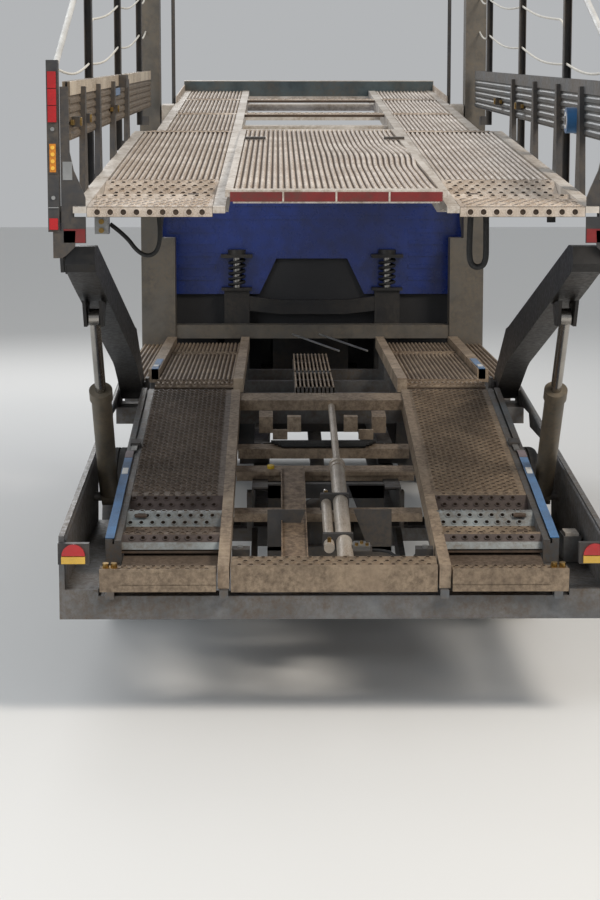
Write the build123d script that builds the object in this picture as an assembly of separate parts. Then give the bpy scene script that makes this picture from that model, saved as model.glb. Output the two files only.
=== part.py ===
from build123d import *
import os
from math import atan2, cos, degrees, hypot, radians, sin, tan

# Car transporter truck: a two-axle cab-over lorry with a fixed front deck, a sloping rear
# deck with a pull-out tail, and an upper deck that tilts between two columns behind the cab.
# Millimetres. +X forward, +Y to the left, +Z up. The origin is on the ground, in the middle.

# Overall size
LENGTH = 8950.0
HALF_WIDTH = 1275.0
FRONT_X = LENGTH / 2
TAIL_X = -LENGTH / 2
RUN_FIT = 0.05
SEAT_GAP = 0.3
MOVING_GAP = 8.0

# Wheels and axles
TYRE_RADIUS = 475.0
TYRE_WIDTH = 285.0
RIM_RADIUS = 292.0
RIM_WALL = 14.0
FRONT_AXLE_X = 3100.0
REAR_AXLE_X = -1800.0
FRONT_TYRE_Y = 1020.0
REAR_TYRE_OUT_Y = 1105.0
TWIN_PITCH = 318.0
KINGPIN_Y = 850.0
KINGPIN_RADIUS = 22.0
STUB_RADIUS = 45.0
HUB_RADIUS = 125.0
STUD_CIRCLE = 167.5
STUD_RADIUS = 11.0
STUD_COUNT = 10

# Chassis ladder
RAIL_OUT_Y = 400.0
RAIL_FLANGE = 85.0
RAIL_WALL = 8.0
RAIL_LOW_Z = 640.0
RAIL_HIGH_Z = 860.0
RAIL_FRONT_X = 4299.7
RAIL_REAR_X = -2680.0
COUPLING_X = -3150.0
COUPLING_Z = 470.0
COUPLING_BORE_RADIUS = 25.0

# Decks
DECK_HIGH_Z = 1220.0
TRACK_IN_Y = 540.0
TRACK_OUT_Y = 1010.0
RAIL_IN_Y = 487.0
DECK_OUT_Y = 1085.0
TRACK_PLATE = 40.0

# Sloping rear deck, in its own frame from its hinge axis
TILT_HINGE_X = -1030.0
TILT_HINGE_DROP = 70.0
LOWER_SLOPE = 8.26
LOWER_FRONT_U = -62.0
LOWER_TRACK_END_U = -2790.0
LOWER_RAIL_DEPTH = 112.0
HINGE_TUBE_RADIUS = 36.0
HINGE_PIN_RADIUS = 20.0

# Pull-out tail
TAIL_STRIP_FRONT_U = -3085.0
TAIL_STRIP_REAR_U = -3232.0
TAIL_TRAVEL = 280.0
RUNNER_FRONT_U = -2150.0

# Columns
COLUMN_X = 2050.0
COLUMN_DEPTH = 200.0
COLUMN_IN_Y = 1125.0
COLUMN_TOP_Z = 3950.0
COLUMN_FOOT_Z = 900.0

# Upper deck, in its own frame from its pivot between the columns
UPPER_TAIL_Z = 2400.0
UPPER_PIVOT_TOP_Z = 2973.0
UPPER_PIVOT_DROP = 60.0
UPPER_FRONT_X = 3950.0
UPPER_JOIN_X = -285.0
UPPER_HALF_WIDTH = 1165.0
OVER_CAB_HALF_WIDTH = 1030.0
UPPER_RAIL_IN_Y = 492.0
UPPER_RAIL_WIDTH = 55.0
UPPER_RAIL_DEPTH = 95.0
UPPER_PIN_RADIUS = 35.0

# Lift arms and their cylinders
ARM_FOOT_X = -700.0
ARM_FOOT_Z = 1180.0
ARM_BEND_X = -1350.0
ARM_BEND_Z = 1500.0
ARM_HEAD_X = -4050.0
ARM_HEAD_Z = 2150.0
ARM_IN_Y = 1100.0
ARM_OUT_Y = 1236.0
ARM_DEPTH = 190.0
CYL_FOOT_X = -2600.0
CYL_FOOT_Z = 800.0
CYL_EYE_X = -3400.0
CYL_EYE_Z = 1830.0
CYL_RADIUS = 52.0
CYL_ROD_RADIUS = 28.0
CYL_BARREL_LENGTH = 800.0
CYL_EYE_WIDTH = 50.0

TOWER_Y = 570.0
TOWER_TOP_Z = 1900.0

# Cab
CAB_REAR_X = 2320.0
CAB_HALF_WIDTH = 1170.0
CAB_ROOF_Z = 2720.0
CAB_SILL_Z = 1100.0
CAB_FLOOR_Z = 1330.0
CAB_WALL = 45.0
CAB_REAR_LOW_Z = 1560.0
DOOR_REAR_X = 2960.0
DOOR_FRONT_X = 3930.0
DOOR_LOW_Z = 1120.0
DOOR_HIGH_Z = 2570.0
DOOR_GAP = 6.0
WINDOW_LOW_Z = 1780.0
HINGE_OFFSET = 14.0
DOOR_PIN_RADIUS = 8.0
DOOR_HINGE_ZS = (1290.0, 1650.0)
TUNNEL_TOP_Z = 1830.0
TUNNEL_TOP_HALF = 270.0
TUNNEL_LOW_HALF = 400.0
ARCH_RADIUS = 620.0

os.makedirs("parts", exist_ok=True)


def box(x0, x1, y0, y1, z0, z1):
    """A block between two corners."""
    return Pos((x0 + x1) / 2, (y0 + y1) / 2, (z0 + z1) / 2) * Box(abs(x1 - x0), abs(y1 - y0), abs(z1 - z0))


def slab(points, y0, y1):
    """An outline in the XZ plane, extruded across Y."""
    path = Polyline(*[(x, y0, z) for x, z in points], close=True)
    return extrude(make_face(path), amount=y1 - y0, dir=(0, 1, 0))


def run(points, x0, x1):
    """An outline in the YZ plane, extruded along X."""
    path = Polyline(*[(x0, y, z) for y, z in points], close=True)
    return extrude(make_face(path), amount=x1 - x0, dir=(1, 0, 0))


def bar_y(x, z, radius, y0, y1):
    """A round bar along Y."""
    return Pos(x, (y0 + y1) / 2, z) * Cylinder(radius, y1 - y0, rotation=(90, 0, 0))


def bar_x(y, z, radius, x0, x1):
    """A round bar along X."""
    return Pos((x0 + x1) / 2, y, z) * Cylinder(radius, x1 - x0, rotation=(0, 90, 0))


def bar_between(start, end, radius):
    """A round bar from one point to another."""
    start, end = Vector(*start), Vector(*end)
    plane = Plane(start, z_dir=end - start)
    return extrude(plane * Circle(radius), amount=(end - start).length)


def both(shape):
    """The shape and its mirror image on the other side."""
    return shape + mirror(shape, about=Plane.XZ)


def join(shapes):
    """One body from a list of shapes."""
    whole = shapes[0]
    for shape in shapes[1:]:
        whole = whole + shape
    return whole


def save(node, shape):
    """Write one node."""
    export_step(Compound(children=list(shape.solids())), f"parts/{node}.step")


# Frames of the two sloping decks
lower_frame = Location((TILT_HINGE_X, 0, DECK_HIGH_Z - TILT_HINGE_DROP), (0, -LOWER_SLOPE, 0))
UPPER_SLOPE = degrees(atan2(UPPER_PIVOT_TOP_Z - UPPER_TAIL_Z, COLUMN_X - TAIL_X))
UPPER_PIVOT_Z = UPPER_PIVOT_TOP_Z - UPPER_PIVOT_DROP
upper_frame = Location((COLUMN_X, 0, UPPER_PIVOT_TOP_Z), (0, -UPPER_SLOPE, 0))
LOWER_TOP_W = TILT_HINGE_DROP
UPPER_TAIL_U = -(COLUMN_X - TAIL_X) / cos(radians(UPPER_SLOPE))
UPPER_JOIN_U = -(COLUMN_X - UPPER_JOIN_X) / cos(radians(UPPER_SLOPE))
UPPER_FRONT_U = (UPPER_FRONT_X - COLUMN_X) / cos(radians(UPPER_SLOPE))


def lower_z(x):
    """Height of the sloping deck's top at x."""
    return DECK_HIGH_Z + (x - TILT_HINGE_X) * tan(radians(LOWER_SLOPE))


def upper_z(x):
    """Height of the upper deck's top at x."""
    return UPPER_PIVOT_TOP_Z + (x - COLUMN_X) * tan(radians(UPPER_SLOPE))


def chassis_frame():
    """Two C rails, tube cross-members and the tail frame that carries the coupling."""
    inner = RAIL_OUT_Y - RAIL_FLANGE
    c_section = [(RAIL_OUT_Y, RAIL_LOW_Z), (RAIL_OUT_Y, RAIL_HIGH_Z), (inner, RAIL_HIGH_Z),
                 (inner, RAIL_HIGH_Z - RAIL_WALL), (RAIL_OUT_Y - RAIL_WALL, RAIL_HIGH_Z - RAIL_WALL),
                 (RAIL_OUT_Y - RAIL_WALL, RAIL_LOW_Z + RAIL_WALL), (inner, RAIL_LOW_Z + RAIL_WALL),
                 (inner, RAIL_LOW_Z)]
    shapes = [both(run(c_section, RAIL_REAR_X, RAIL_FRONT_X))]
    web = RAIL_OUT_Y - RAIL_WALL
    cross_depth, cross_length = 62.0, 90.0
    cross_top = RAIL_HIGH_Z - RAIL_WALL
    for x in (4050.0, 2080.0, 1150.0, 150.0, -950.0, -2300.0):
        shapes.append(box(x - cross_length / 2, x + cross_length / 2, -web, web,
                          cross_top - cross_depth, cross_top))
    drop = [(RAIL_REAR_X + 420, RAIL_LOW_Z), (RAIL_REAR_X, RAIL_LOW_Z), (COUPLING_X - 120, COUPLING_Z + 70),
            (COUPLING_X - 120, COUPLING_Z - 70), (COUPLING_X + 120, COUPLING_Z - 70)]
    shapes.append(both(slab(drop, RAIL_OUT_Y - 30, RAIL_OUT_Y)))
    beam = box(COUPLING_X - 120, COUPLING_X + 60, -(RAIL_OUT_Y - 30), RAIL_OUT_Y - 30,
               COUPLING_Z - 60, COUPLING_Z + 60)
    jaw_rear = COUPLING_X - 330
    jaw = join([box(jaw_rear, COUPLING_X - 120, -75, 75, COUPLING_Z + 32, COUPLING_Z + 52),
                box(jaw_rear, COUPLING_X - 120, -75, 75, COUPLING_Z - 52, COUPLING_Z - 32)])
    bore = Pos(jaw_rear + 60, 0, COUPLING_Z) * Cylinder(COUPLING_BORE_RADIUS, 200)
    shapes += [beam, jaw - bore]
    return join(shapes)


def cab_mounts():
    """Low brackets under the cab's front and the tall sprung towers behind its rear wall."""
    inner = RAIL_OUT_Y - RAIL_FLANGE
    front = box(4000, 4100, inner, RAIL_OUT_Y, RAIL_HIGH_Z, CAB_FLOOR_Z - 60 - SEAT_GAP)
    tower = box(2200, CAB_REAR_X - SEAT_GAP, TOWER_Y - 95, TOWER_Y + 95, RAIL_HIGH_Z + 60, TOWER_TOP_Z)
    foot = box(2200, CAB_REAR_X - SEAT_GAP, inner, TOWER_Y + 95, RAIL_HIGH_Z, RAIL_HIGH_Z + 60)
    tube = box(2215, 2275, -TOWER_Y, TOWER_Y, TOWER_TOP_Z - 520, TOWER_TOP_Z - 440)
    return join([both(tower + foot), tube]) + both(front)


def driveline():
    """Engine and gearbox as one plain mass, with the propeller shaft to the rear axle."""
    engine = box(2950, 3980, -300, 300, 560, 1240)
    gearbox = box(2250, 2950, -190, 190, 560, 900)
    shaft = bar_between((2250, 0, 700), (REAR_AXLE_X + 250, 0, TYRE_RADIUS + 20), 48)
    mount = box(3400, 3520, 300, RAIL_OUT_Y - RAIL_WALL - SEAT_GAP, 690, 760)
    return engine + gearbox + shaft + both(mount)


def side_tanks():
    """Fuel tank on the left, battery and air box on the right, each on two brackets."""
    shapes = []
    for side, x0, x1 in ((1, 450.0, 1650.0), (-1, 650.0, 1650.0)):
        tank = box(x0, x1, 560, 1160, 440, 900)
        tank = fillet(tank.edges().filter_by(Axis.X), 90)
        for x in (x0 + 150, x1 - 150):
            tank = tank + box(x - 30, x + 30, RAIL_OUT_Y, 600, 600, 800)
        shapes.append(tank if side > 0 else mirror(tank, about=Plane.XZ))
    return join(shapes)


def front_axle():
    """Dropped beam with kingpin bosses and its leaf springs."""
    boss_half = 75.0
    beam = box(FRONT_AXLE_X - 50, FRONT_AXLE_X + 50, -KINGPIN_Y, KINGPIN_Y, TYRE_RADIUS - 75, TYRE_RADIUS + 15)
    boss = Pos(FRONT_AXLE_X, KINGPIN_Y, TYRE_RADIUS) * Cylinder(52, 2 * boss_half)
    hole = Pos(FRONT_AXLE_X, KINGPIN_Y, TYRE_RADIUS) * Cylinder(KINGPIN_RADIUS + RUN_FIT, 4 * boss_half)
    axle = beam + both(boss) - both(hole)
    top = TYRE_RADIUS + 15
    spring_y0, spring_y1 = RAIL_OUT_Y - 80, RAIL_OUT_Y
    leaf = slab([(FRONT_AXLE_X - 720, RAIL_LOW_Z), (FRONT_AXLE_X - 720, RAIL_LOW_Z - 70),
                 (FRONT_AXLE_X - 120, top), (FRONT_AXLE_X + 120, top),
                 (FRONT_AXLE_X + 720, RAIL_LOW_Z - 70), (FRONT_AXLE_X + 720, RAIL_LOW_Z),
                 (FRONT_AXLE_X + 660, RAIL_LOW_Z), (FRONT_AXLE_X + 640, RAIL_LOW_Z - 34),
                 (FRONT_AXLE_X + 120, top + 45), (FRONT_AXLE_X - 120, top + 45),
                 (FRONT_AXLE_X - 640, RAIL_LOW_Z - 34), (FRONT_AXLE_X - 660, RAIL_LOW_Z)],
                spring_y0, spring_y1)
    return axle + both(leaf)


def knuckle():
    """Left steering knuckle: kingpin, yoke and stub axle."""
    boss_half = 75.0
    arm_gap = 0.5
    pin = Pos(FRONT_AXLE_X, KINGPIN_Y, TYRE_RADIUS) * Cylinder(KINGPIN_RADIUS, 2 * boss_half + 60)
    low = box(FRONT_AXLE_X - 45, FRONT_AXLE_X + 45, KINGPIN_Y - 35, KINGPIN_Y + 110,
              TYRE_RADIUS - boss_half - 34, TYRE_RADIUS - boss_half - arm_gap)
    high = box(FRONT_AXLE_X - 45, FRONT_AXLE_X + 45, KINGPIN_Y - 35, KINGPIN_Y + 110,
               TYRE_RADIUS + boss_half + arm_gap, TYRE_RADIUS + boss_half + 34)
    web = box(FRONT_AXLE_X - 45, FRONT_AXLE_X + 45, KINGPIN_Y + 75, KINGPIN_Y + 110,
              TYRE_RADIUS - boss_half - 34, TYRE_RADIUS + boss_half + 34)
    stub = bar_y(FRONT_AXLE_X, TYRE_RADIUS, STUB_RADIUS, KINGPIN_Y + 90, FRONT_TYRE_Y + 100)
    return pin + low + high + web + stub


def tyre(y):
    """A tyre centred at y, as a turned section on the wheel's axis."""
    half = TYRE_WIDTH / 2
    bead = RIM_RADIUS
    section = make_face(Polyline((bead, -half + 30), (bead + 40, -half + 4), (bead + 105, -half),
                                 (TYRE_RADIUS - 35, -half + 12), (TYRE_RADIUS, -half + 38),
                                 (TYRE_RADIUS, half - 38), (TYRE_RADIUS - 35, half - 12),
                                 (bead + 105, half), (bead + 40, half - 4), (bead, half - 30), close=True))
    solid = revolve(section, axis=Axis.Y)
    return Pos(0, y, 0) * solid


def rim(y, disc_y, bore_from, bore_to, hub_from, hub_to):
    """A rim with its disc and hub; disc_y is where the disc stands, all measured along the axle."""
    half = TYRE_WIDTH / 2 - 30
    barrel = make_face(Polyline((RIM_RADIUS - RIM_WALL, y - half), (RIM_RADIUS, y - half),
                                (RIM_RADIUS, y + half), (RIM_RADIUS - RIM_WALL, y + half), close=True))
    disc = make_face(Polyline((HUB_RADIUS - 5, disc_y - 7), (RIM_RADIUS - RIM_WALL + 2, disc_y - 47),
                              (RIM_RADIUS - RIM_WALL + 2, disc_y - 33), (HUB_RADIUS - 5, disc_y + 7), close=True))
    hub = make_face(Polyline((STUB_RADIUS + RUN_FIT, bore_from), (HUB_RADIUS, hub_from), (HUB_RADIUS, hub_to),
                             (STUB_RADIUS + RUN_FIT, bore_to), close=True))
    return join([revolve(barrel, axis=Axis.Y), revolve(disc, axis=Axis.Y), revolve(hub, axis=Axis.Y)])


def front_wheel_rim():
    """Left front rim, in place."""
    solid = rim(FRONT_TYRE_Y, FRONT_TYRE_Y + 70, FRONT_TYRE_Y - 30, FRONT_TYRE_Y + 110,
                FRONT_TYRE_Y - 30, FRONT_TYRE_Y + 110)
    return Pos(FRONT_AXLE_X, 0, TYRE_RADIUS) * solid


def rear_wheel_rims():
    """Left twin rims with their common hub, in place."""
    inner_y = REAR_TYRE_OUT_Y - TWIN_PITCH
    outer = rim(REAR_TYRE_OUT_Y, REAR_TYRE_OUT_Y - 40, REAR_TYRE_OUT_Y - 180, REAR_TYRE_OUT_Y + 60,
                REAR_TYRE_OUT_Y - 180, REAR_TYRE_OUT_Y + 60)
    half = TYRE_WIDTH / 2 - 30
    inner = make_face(Polyline((RIM_RADIUS - RIM_WALL, inner_y - half), (RIM_RADIUS, inner_y - half),
                               (RIM_RADIUS, inner_y + half), (RIM_RADIUS - RIM_WALL, inner_y + half), close=True))
    dish = make_face(Polyline((HUB_RADIUS - 5, REAR_TYRE_OUT_Y - 62), (RIM_RADIUS - RIM_WALL + 2, inner_y + half - 20),
                              (RIM_RADIUS - RIM_WALL + 2, inner_y + half - 6), (HUB_RADIUS - 5, REAR_TYRE_OUT_Y - 48),
                              close=True))
    solid = join([outer, revolve(inner, axis=Axis.Y), revolve(dish, axis=Axis.Y)])
    return Pos(REAR_AXLE_X, 0, TYRE_RADIUS) * solid


def rear_axle():
    """Driven axle with its differential, stub ends, trailing arms and air springs."""
    tube = bar_y(REAR_AXLE_X, TYRE_RADIUS, 70, -600, 600)
    stub = bar_y(REAR_AXLE_X, TYRE_RADIUS, STUB_RADIUS, 590, REAR_TYRE_OUT_Y + 40)
    case = Pos(REAR_AXLE_X, 0, TYRE_RADIUS) * Sphere(190) + bar_x(0, TYRE_RADIUS + 20, 70, REAR_AXLE_X, REAR_AXLE_X + 246)
    arm = slab([(REAR_AXLE_X + 700, RAIL_LOW_Z - 120), (REAR_AXLE_X + 700, RAIL_LOW_Z),
                (REAR_AXLE_X + 620, RAIL_LOW_Z), (REAR_AXLE_X + 560, RAIL_LOW_Z - 60),
                (REAR_AXLE_X, TYRE_RADIUS + 50),
                (REAR_AXLE_X - 430, TYRE_RADIUS + 30), (REAR_AXLE_X - 430, TYRE_RADIUS - 20),
                (REAR_AXLE_X, TYRE_RADIUS - 20)], RAIL_OUT_Y - 80, RAIL_OUT_Y)
    spring = Pos(REAR_AXLE_X - 330, RAIL_OUT_Y - 40, (TYRE_RADIUS + 20 + RAIL_LOW_Z) / 2) * Cylinder(
        110, RAIL_LOW_Z - TYRE_RADIUS - 20)
    return join([tube, both(stub), case, both(arm), both(spring)])


def body_frame():
    """Galvanised structure on the chassis: sub-frame beams, front deck frame, side channels, tail beam."""
    shapes = []
    deck_low = DECK_HIGH_Z - TRACK_PLATE
    front_end_x = COLUMN_X - COLUMN_DEPTH / 2
    # Sub-frame beams on the chassis rails under the front deck
    shapes.append(both(box(-1180, front_end_x, RAIL_OUT_Y - RAIL_FLANGE, RAIL_OUT_Y, RAIL_HIGH_Z, RAIL_HIGH_Z + 120)))
    for x in (-900.0, -150.0, 600.0, 1350.0):
        shapes.append(box(x - 40, x + 40, -HALF_WIDTH + 20, HALF_WIDTH - 20, RAIL_HIGH_Z + 120, deck_low - 100))
        shapes.append(both(box(x - 40, x + 40, 470, 560, deck_low - 100, deck_low)))
        shapes.append(both(box(x - 40, x + 40, 985, 1085, deck_low - 100, deck_low)))
    # Hinge lugs and pins of the sloping deck
    hinge_z = DECK_HIGH_Z - TILT_HINGE_DROP
    for y in (RAIL_IN_Y + 63, DECK_OUT_Y - 95):
        lug = slab([(-860, deck_low - 100), (-1000, deck_low - 100), (TILT_HINGE_X - 40, hinge_z - 25),
                    (TILT_HINGE_X - 40, hinge_z + 30), (TILT_HINGE_X + 20, hinge_z + 30), (-860, deck_low)],
                   y - 9, y + 9)
        shapes.append(both(lug))
    shapes.append(both(bar_y(TILT_HINGE_X, hinge_z, HINGE_PIN_RADIUS, RAIL_IN_Y + 63, DECK_OUT_Y - 95)))
    # Side channels beside the sloping deck
    in_y = DECK_OUT_Y + 9
    wall_y = HALF_WIDTH - 25
    tail_x, wheel_rear_x, wheel_front_x = -4250.0, REAR_AXLE_X - 560, REAR_AXLE_X + 560
    floor_z = 600.0
    wall = slab([(tail_x, floor_z), (tail_x, lower_z(tail_x) + 130), (ARM_FOOT_X + 250, DECK_HIGH_Z - 30),
                 (ARM_FOOT_X + 250, deck_low - 100), (wheel_front_x, deck_low - 100),
                 (wheel_front_x - 60, TYRE_RADIUS + 530), (wheel_rear_x + 60, TYRE_RADIUS + 530),
                 (wheel_rear_x, floor_z)], wall_y, HALF_WIDTH)
    floor = box(tail_x, wheel_rear_x, in_y, wall_y, floor_z, floor_z + 30)
    shapes.append(both(wall + floor))
    outrigger = box(wheel_rear_x - 120, wheel_rear_x - 20, RAIL_OUT_Y, HALF_WIDTH - 25, floor_z - 70, floor_z)
    hanger = box(wheel_rear_x - 120, wheel_rear_x - 20, RAIL_OUT_Y, RAIL_OUT_Y + 30, floor_z, RAIL_HIGH_Z - 60)
    shapes.append(both(outrigger + hanger))
    tail_beam = box(tail_x, tail_x + 120, -HALF_WIDTH, HALF_WIDTH, floor_z - 110, floor_z)
    shapes.append(tail_beam)
    # Feet of the lift arms
    for y0, y1 in ((ARM_IN_Y - 15 - 18, ARM_IN_Y - 15), (ARM_OUT_Y + 4, HALF_WIDTH - 25)):
        cheek = slab([(ARM_FOOT_X - 90, ARM_FOOT_Z - 40), (ARM_FOOT_X - 40, ARM_FOOT_Z + 60),
                      (ARM_FOOT_X + 60, ARM_FOOT_Z + 60), (ARM_FOOT_X + 120, deck_low - 100),
                      (ARM_FOOT_X - 220, deck_low - 100)], y0, y1)
        shapes.append(both(cheek))
    shapes.append(both(box(-940, ARM_FOOT_X + 120, ARM_IN_Y - 33, HALF_WIDTH - 20, deck_low - 150, deck_low - 100)))
    shapes.append(both(bar_y(ARM_FOOT_X, ARM_FOOT_Z, 40, ARM_IN_Y - 33, HALF_WIDTH - 20)))
    # Feet of the lift cylinders, cross pins in the channel
    shapes.append(both(bar_y(CYL_FOOT_X, CYL_FOOT_Z, 25, (ARM_IN_Y + ARM_OUT_Y) / 2 - 76, wall_y)))
    foot_y = (ARM_IN_Y + ARM_OUT_Y) / 2
    shapes.append(both(slab([(CYL_FOOT_X - 60, floor_z + 30), (CYL_FOOT_X - 40, CYL_FOOT_Z + 40),
                             (CYL_FOOT_X + 40, CYL_FOOT_Z + 40), (CYL_FOOT_X + 60, floor_z + 30)],
                            foot_y - 76, foot_y - 62)))
    return join(shapes)


def front_deck():
    """Level deck: two tracks with raised ridges, side walkways and centre edge rails."""
    front_end_x = COLUMN_X - COLUMN_DEPTH / 2
    rear_x = -990.0
    z0 = DECK_HIGH_Z - TRACK_PLATE
    ridge_count, ridge_height, ridge_width = 6, 14.0, 26.0
    track = box(rear_x, front_end_x, TRACK_IN_Y - 68, DECK_OUT_Y - 30, z0, DECK_HIGH_Z)
    pitch = (TRACK_OUT_Y - TRACK_IN_Y) / ridge_count
    for i in range(ridge_count):
        y = TRACK_IN_Y + pitch * (i + 0.5)
        track = track + box(rear_x + 260, front_end_x, y - ridge_width / 2, y + ridge_width / 2,
                            DECK_HIGH_Z, DECK_HIGH_Z + ridge_height)
    track = track + box(rear_x, front_end_x, RAIL_IN_Y - 15, RAIL_IN_Y + 45, DECK_HIGH_Z, DECK_HIGH_Z + 30)
    walk = box(ARM_FOOT_X + 260, front_end_x, DECK_OUT_Y - 30, HALF_WIDTH - 10, z0, DECK_HIGH_Z - 8)
    return both(track + walk)


def portal():
    """The two columns that carry the upper deck, with their foot beam."""
    x0, x1 = COLUMN_X - COLUMN_DEPTH / 2, COLUMN_X + COLUMN_DEPTH / 2
    column = box(x0, x1, COLUMN_IN_Y, HALF_WIDTH, COLUMN_FOOT_Z, COLUMN_TOP_Z)
    wide = box(x0, x1, COLUMN_IN_Y - 100, COLUMN_IN_Y, COLUMN_FOOT_Z, 2000)
    beam = box(x0 + 20, x1 - 20, -COLUMN_IN_Y, COLUMN_IN_Y, 1250, 1350)
    foot = box(x0 + 20, x1 - 20, RAIL_OUT_Y, COLUMN_IN_Y, RAIL_HIGH_Z - 120, RAIL_HIGH_Z + 60)
    pin = bar_y(COLUMN_X, UPPER_PIVOT_Z, UPPER_PIN_RADIUS, OVER_CAB_HALF_WIDTH + 5, COLUMN_IN_Y + 10)
    return join([both(column + wide + pin), beam, both(foot)])


def tail_lamps():
    """Round over square lamps at the ends of the side channels."""
    x0 = -4250.0 - 60
    return both(box(x0, x0 + 60, 1140, HALF_WIDTH, 760, 905))


def lower_deck():
    """Sloping deck: tracks with wheel troughs, edge rails, cross-members and hinge tubes."""
    top = LOWER_TOP_W
    low = top - TRACK_PLATE
    trough_depth = 62.0
    end = LOWER_TRACK_END_U
    profile = [(LOWER_FRONT_U, low), (LOWER_FRONT_U, top), (end + 1010, top), (end + 800, top - trough_depth),
               (end + 590, top), (end + 510, top), (end + 300, top - trough_depth), (end + 90, top), (end, top),
               (end, low), (end + 70, low), (end + 280, low - trough_depth), (end + 320, low - trough_depth),
               (end + 530, low), (end + 570, low), (end + 780, low - trough_depth), (end + 820, low - trough_depth),
               (end + 1030, low)]
    track = slab(profile, TRACK_IN_Y, TRACK_OUT_Y)
    outer = box(end, LOWER_FRONT_U, TRACK_OUT_Y, DECK_OUT_Y, top - LOWER_RAIL_DEPTH, top + 12)
    inner = box(end, LOWER_FRONT_U, RAIL_IN_Y, TRACK_IN_Y, top - LOWER_RAIL_DEPTH, top + 12)
    tube_y0, tube_y1 = RAIL_IN_Y + 63 + 10, DECK_OUT_Y - 95 - 10
    tube = bar_y(0, 0, HINGE_TUBE_RADIUS, tube_y0, tube_y1)
    neck = box(LOWER_FRONT_U, 0, tube_y0, tube_y1, 0, low + 10)
    hole = bar_y(0, 0, HINGE_PIN_RADIUS + RUN_FIT, tube_y0 - 50, tube_y1 + 50)
    side = join([track, outer, inner, tube + neck - hole])
    shapes = [both(side)]
    for u in (-260.0, -900.0, -1330.0):
        shapes.append(box(u - 50, u + 50, -RAIL_IN_Y, RAIL_IN_Y, top - 105, top - 30))
    shapes.append(box(end, end + 60, -RAIL_IN_Y, RAIL_IN_Y, top - LOWER_RAIL_DEPTH, top - 20))
    return lower_frame * join(shapes)


def tail_extension():
    """Pull-out tail: runners under the deck's rails, plain slide plates and the end strips."""
    top = LOWER_TOP_W
    rail_low = top - LOWER_RAIL_DEPTH
    runner_top = rail_low - SEAT_GAP
    runner_low = runner_top - 40
    shapes = []
    plate = box(LOWER_TRACK_END_U - 12, TAIL_STRIP_FRONT_U, TRACK_IN_Y - 40, TRACK_OUT_Y + 60, runner_low, runner_top)
    strip = box(TAIL_STRIP_REAR_U, TAIL_STRIP_FRONT_U, TRACK_IN_Y - 40, TRACK_OUT_Y + 60, runner_low, top)
    for y0, y1 in ((TRACK_IN_Y - 40, TRACK_IN_Y - 10), (TRACK_OUT_Y + 20, TRACK_OUT_Y + 60)):
        runner = box(TAIL_STRIP_REAR_U, RUNNER_FRONT_U, y0, y1, runner_low, runner_top)
        shapes.append(both(runner))
    cross = box(TAIL_STRIP_REAR_U, TAIL_STRIP_FRONT_U, -TRACK_IN_Y, TRACK_IN_Y, runner_low, top - 30)
    shapes += [both(strip), cross]
    shapes.append(both(plate))
    return lower_frame * join(shapes)


def lift_arms():
    """Two bent box arms that carry the tail of the upper deck."""
    half = ARM_DEPTH / 2
    tip = 60.0
    lift = atan2(ARM_HEAD_Z - ARM_BEND_Z, ARM_BEND_X - ARM_HEAD_X)
    outline = [(ARM_FOOT_X + 20, ARM_FOOT_Z - 75), (ARM_FOOT_X + 75, ARM_FOOT_Z + 10),
               (ARM_FOOT_X + 30, ARM_FOOT_Z + 80), (ARM_BEND_X + 60, ARM_BEND_Z + half),
               (ARM_BEND_X - 60, ARM_BEND_Z + half + 20), (ARM_HEAD_X + 80, ARM_HEAD_Z + tip),
               (ARM_HEAD_X - 60, ARM_HEAD_Z + tip), (ARM_HEAD_X - 80, ARM_HEAD_Z - 20),
               (ARM_HEAD_X - 30, ARM_HEAD_Z - tip), (CYL_EYE_X - 300, ARM_HEAD_Z - 650 * tan(lift) + 90 - half),
               (ARM_BEND_X - 40, ARM_BEND_Z - half), (ARM_BEND_X + 80, ARM_BEND_Z - half - 40)]
    arm = slab(outline, ARM_IN_Y, ARM_OUT_Y)
    hole = bar_y(ARM_FOOT_X, ARM_FOOT_Z, 40 + RUN_FIT, ARM_IN_Y - 50, ARM_OUT_Y + 50)
    arm = arm - hole
    eye_y = (ARM_IN_Y + ARM_OUT_Y) / 2
    for side in (-1, 1):
        y_mid = eye_y + side * (CYL_EYE_WIDTH / 2 + MOVING_GAP + 8)
        arm = arm + slab([(CYL_EYE_X - 130, CYL_EYE_Z + 90), (CYL_EYE_X - 45, CYL_EYE_Z - 45),
                          (CYL_EYE_X + 45, CYL_EYE_Z - 45), (CYL_EYE_X + 130, CYL_EYE_Z + 60)], y_mid - 8, y_mid + 8)
    pin = bar_y(ARM_HEAD_X, ARM_HEAD_Z, 30, ARM_OUT_Y, ARM_OUT_Y + MOVING_GAP - 3)
    return both(arm + pin)


def cylinder_plane():
    """Plane at the cylinder's foot, Z along its rod."""
    foot = Vector(CYL_FOOT_X, (ARM_IN_Y + ARM_OUT_Y) / 2, CYL_FOOT_Z)
    along = Vector(CYL_EYE_X - CYL_FOOT_X, 0, CYL_EYE_Z - CYL_FOOT_Z)
    return Plane(foot, x_dir=(0, 1, 0), z_dir=along)


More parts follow.
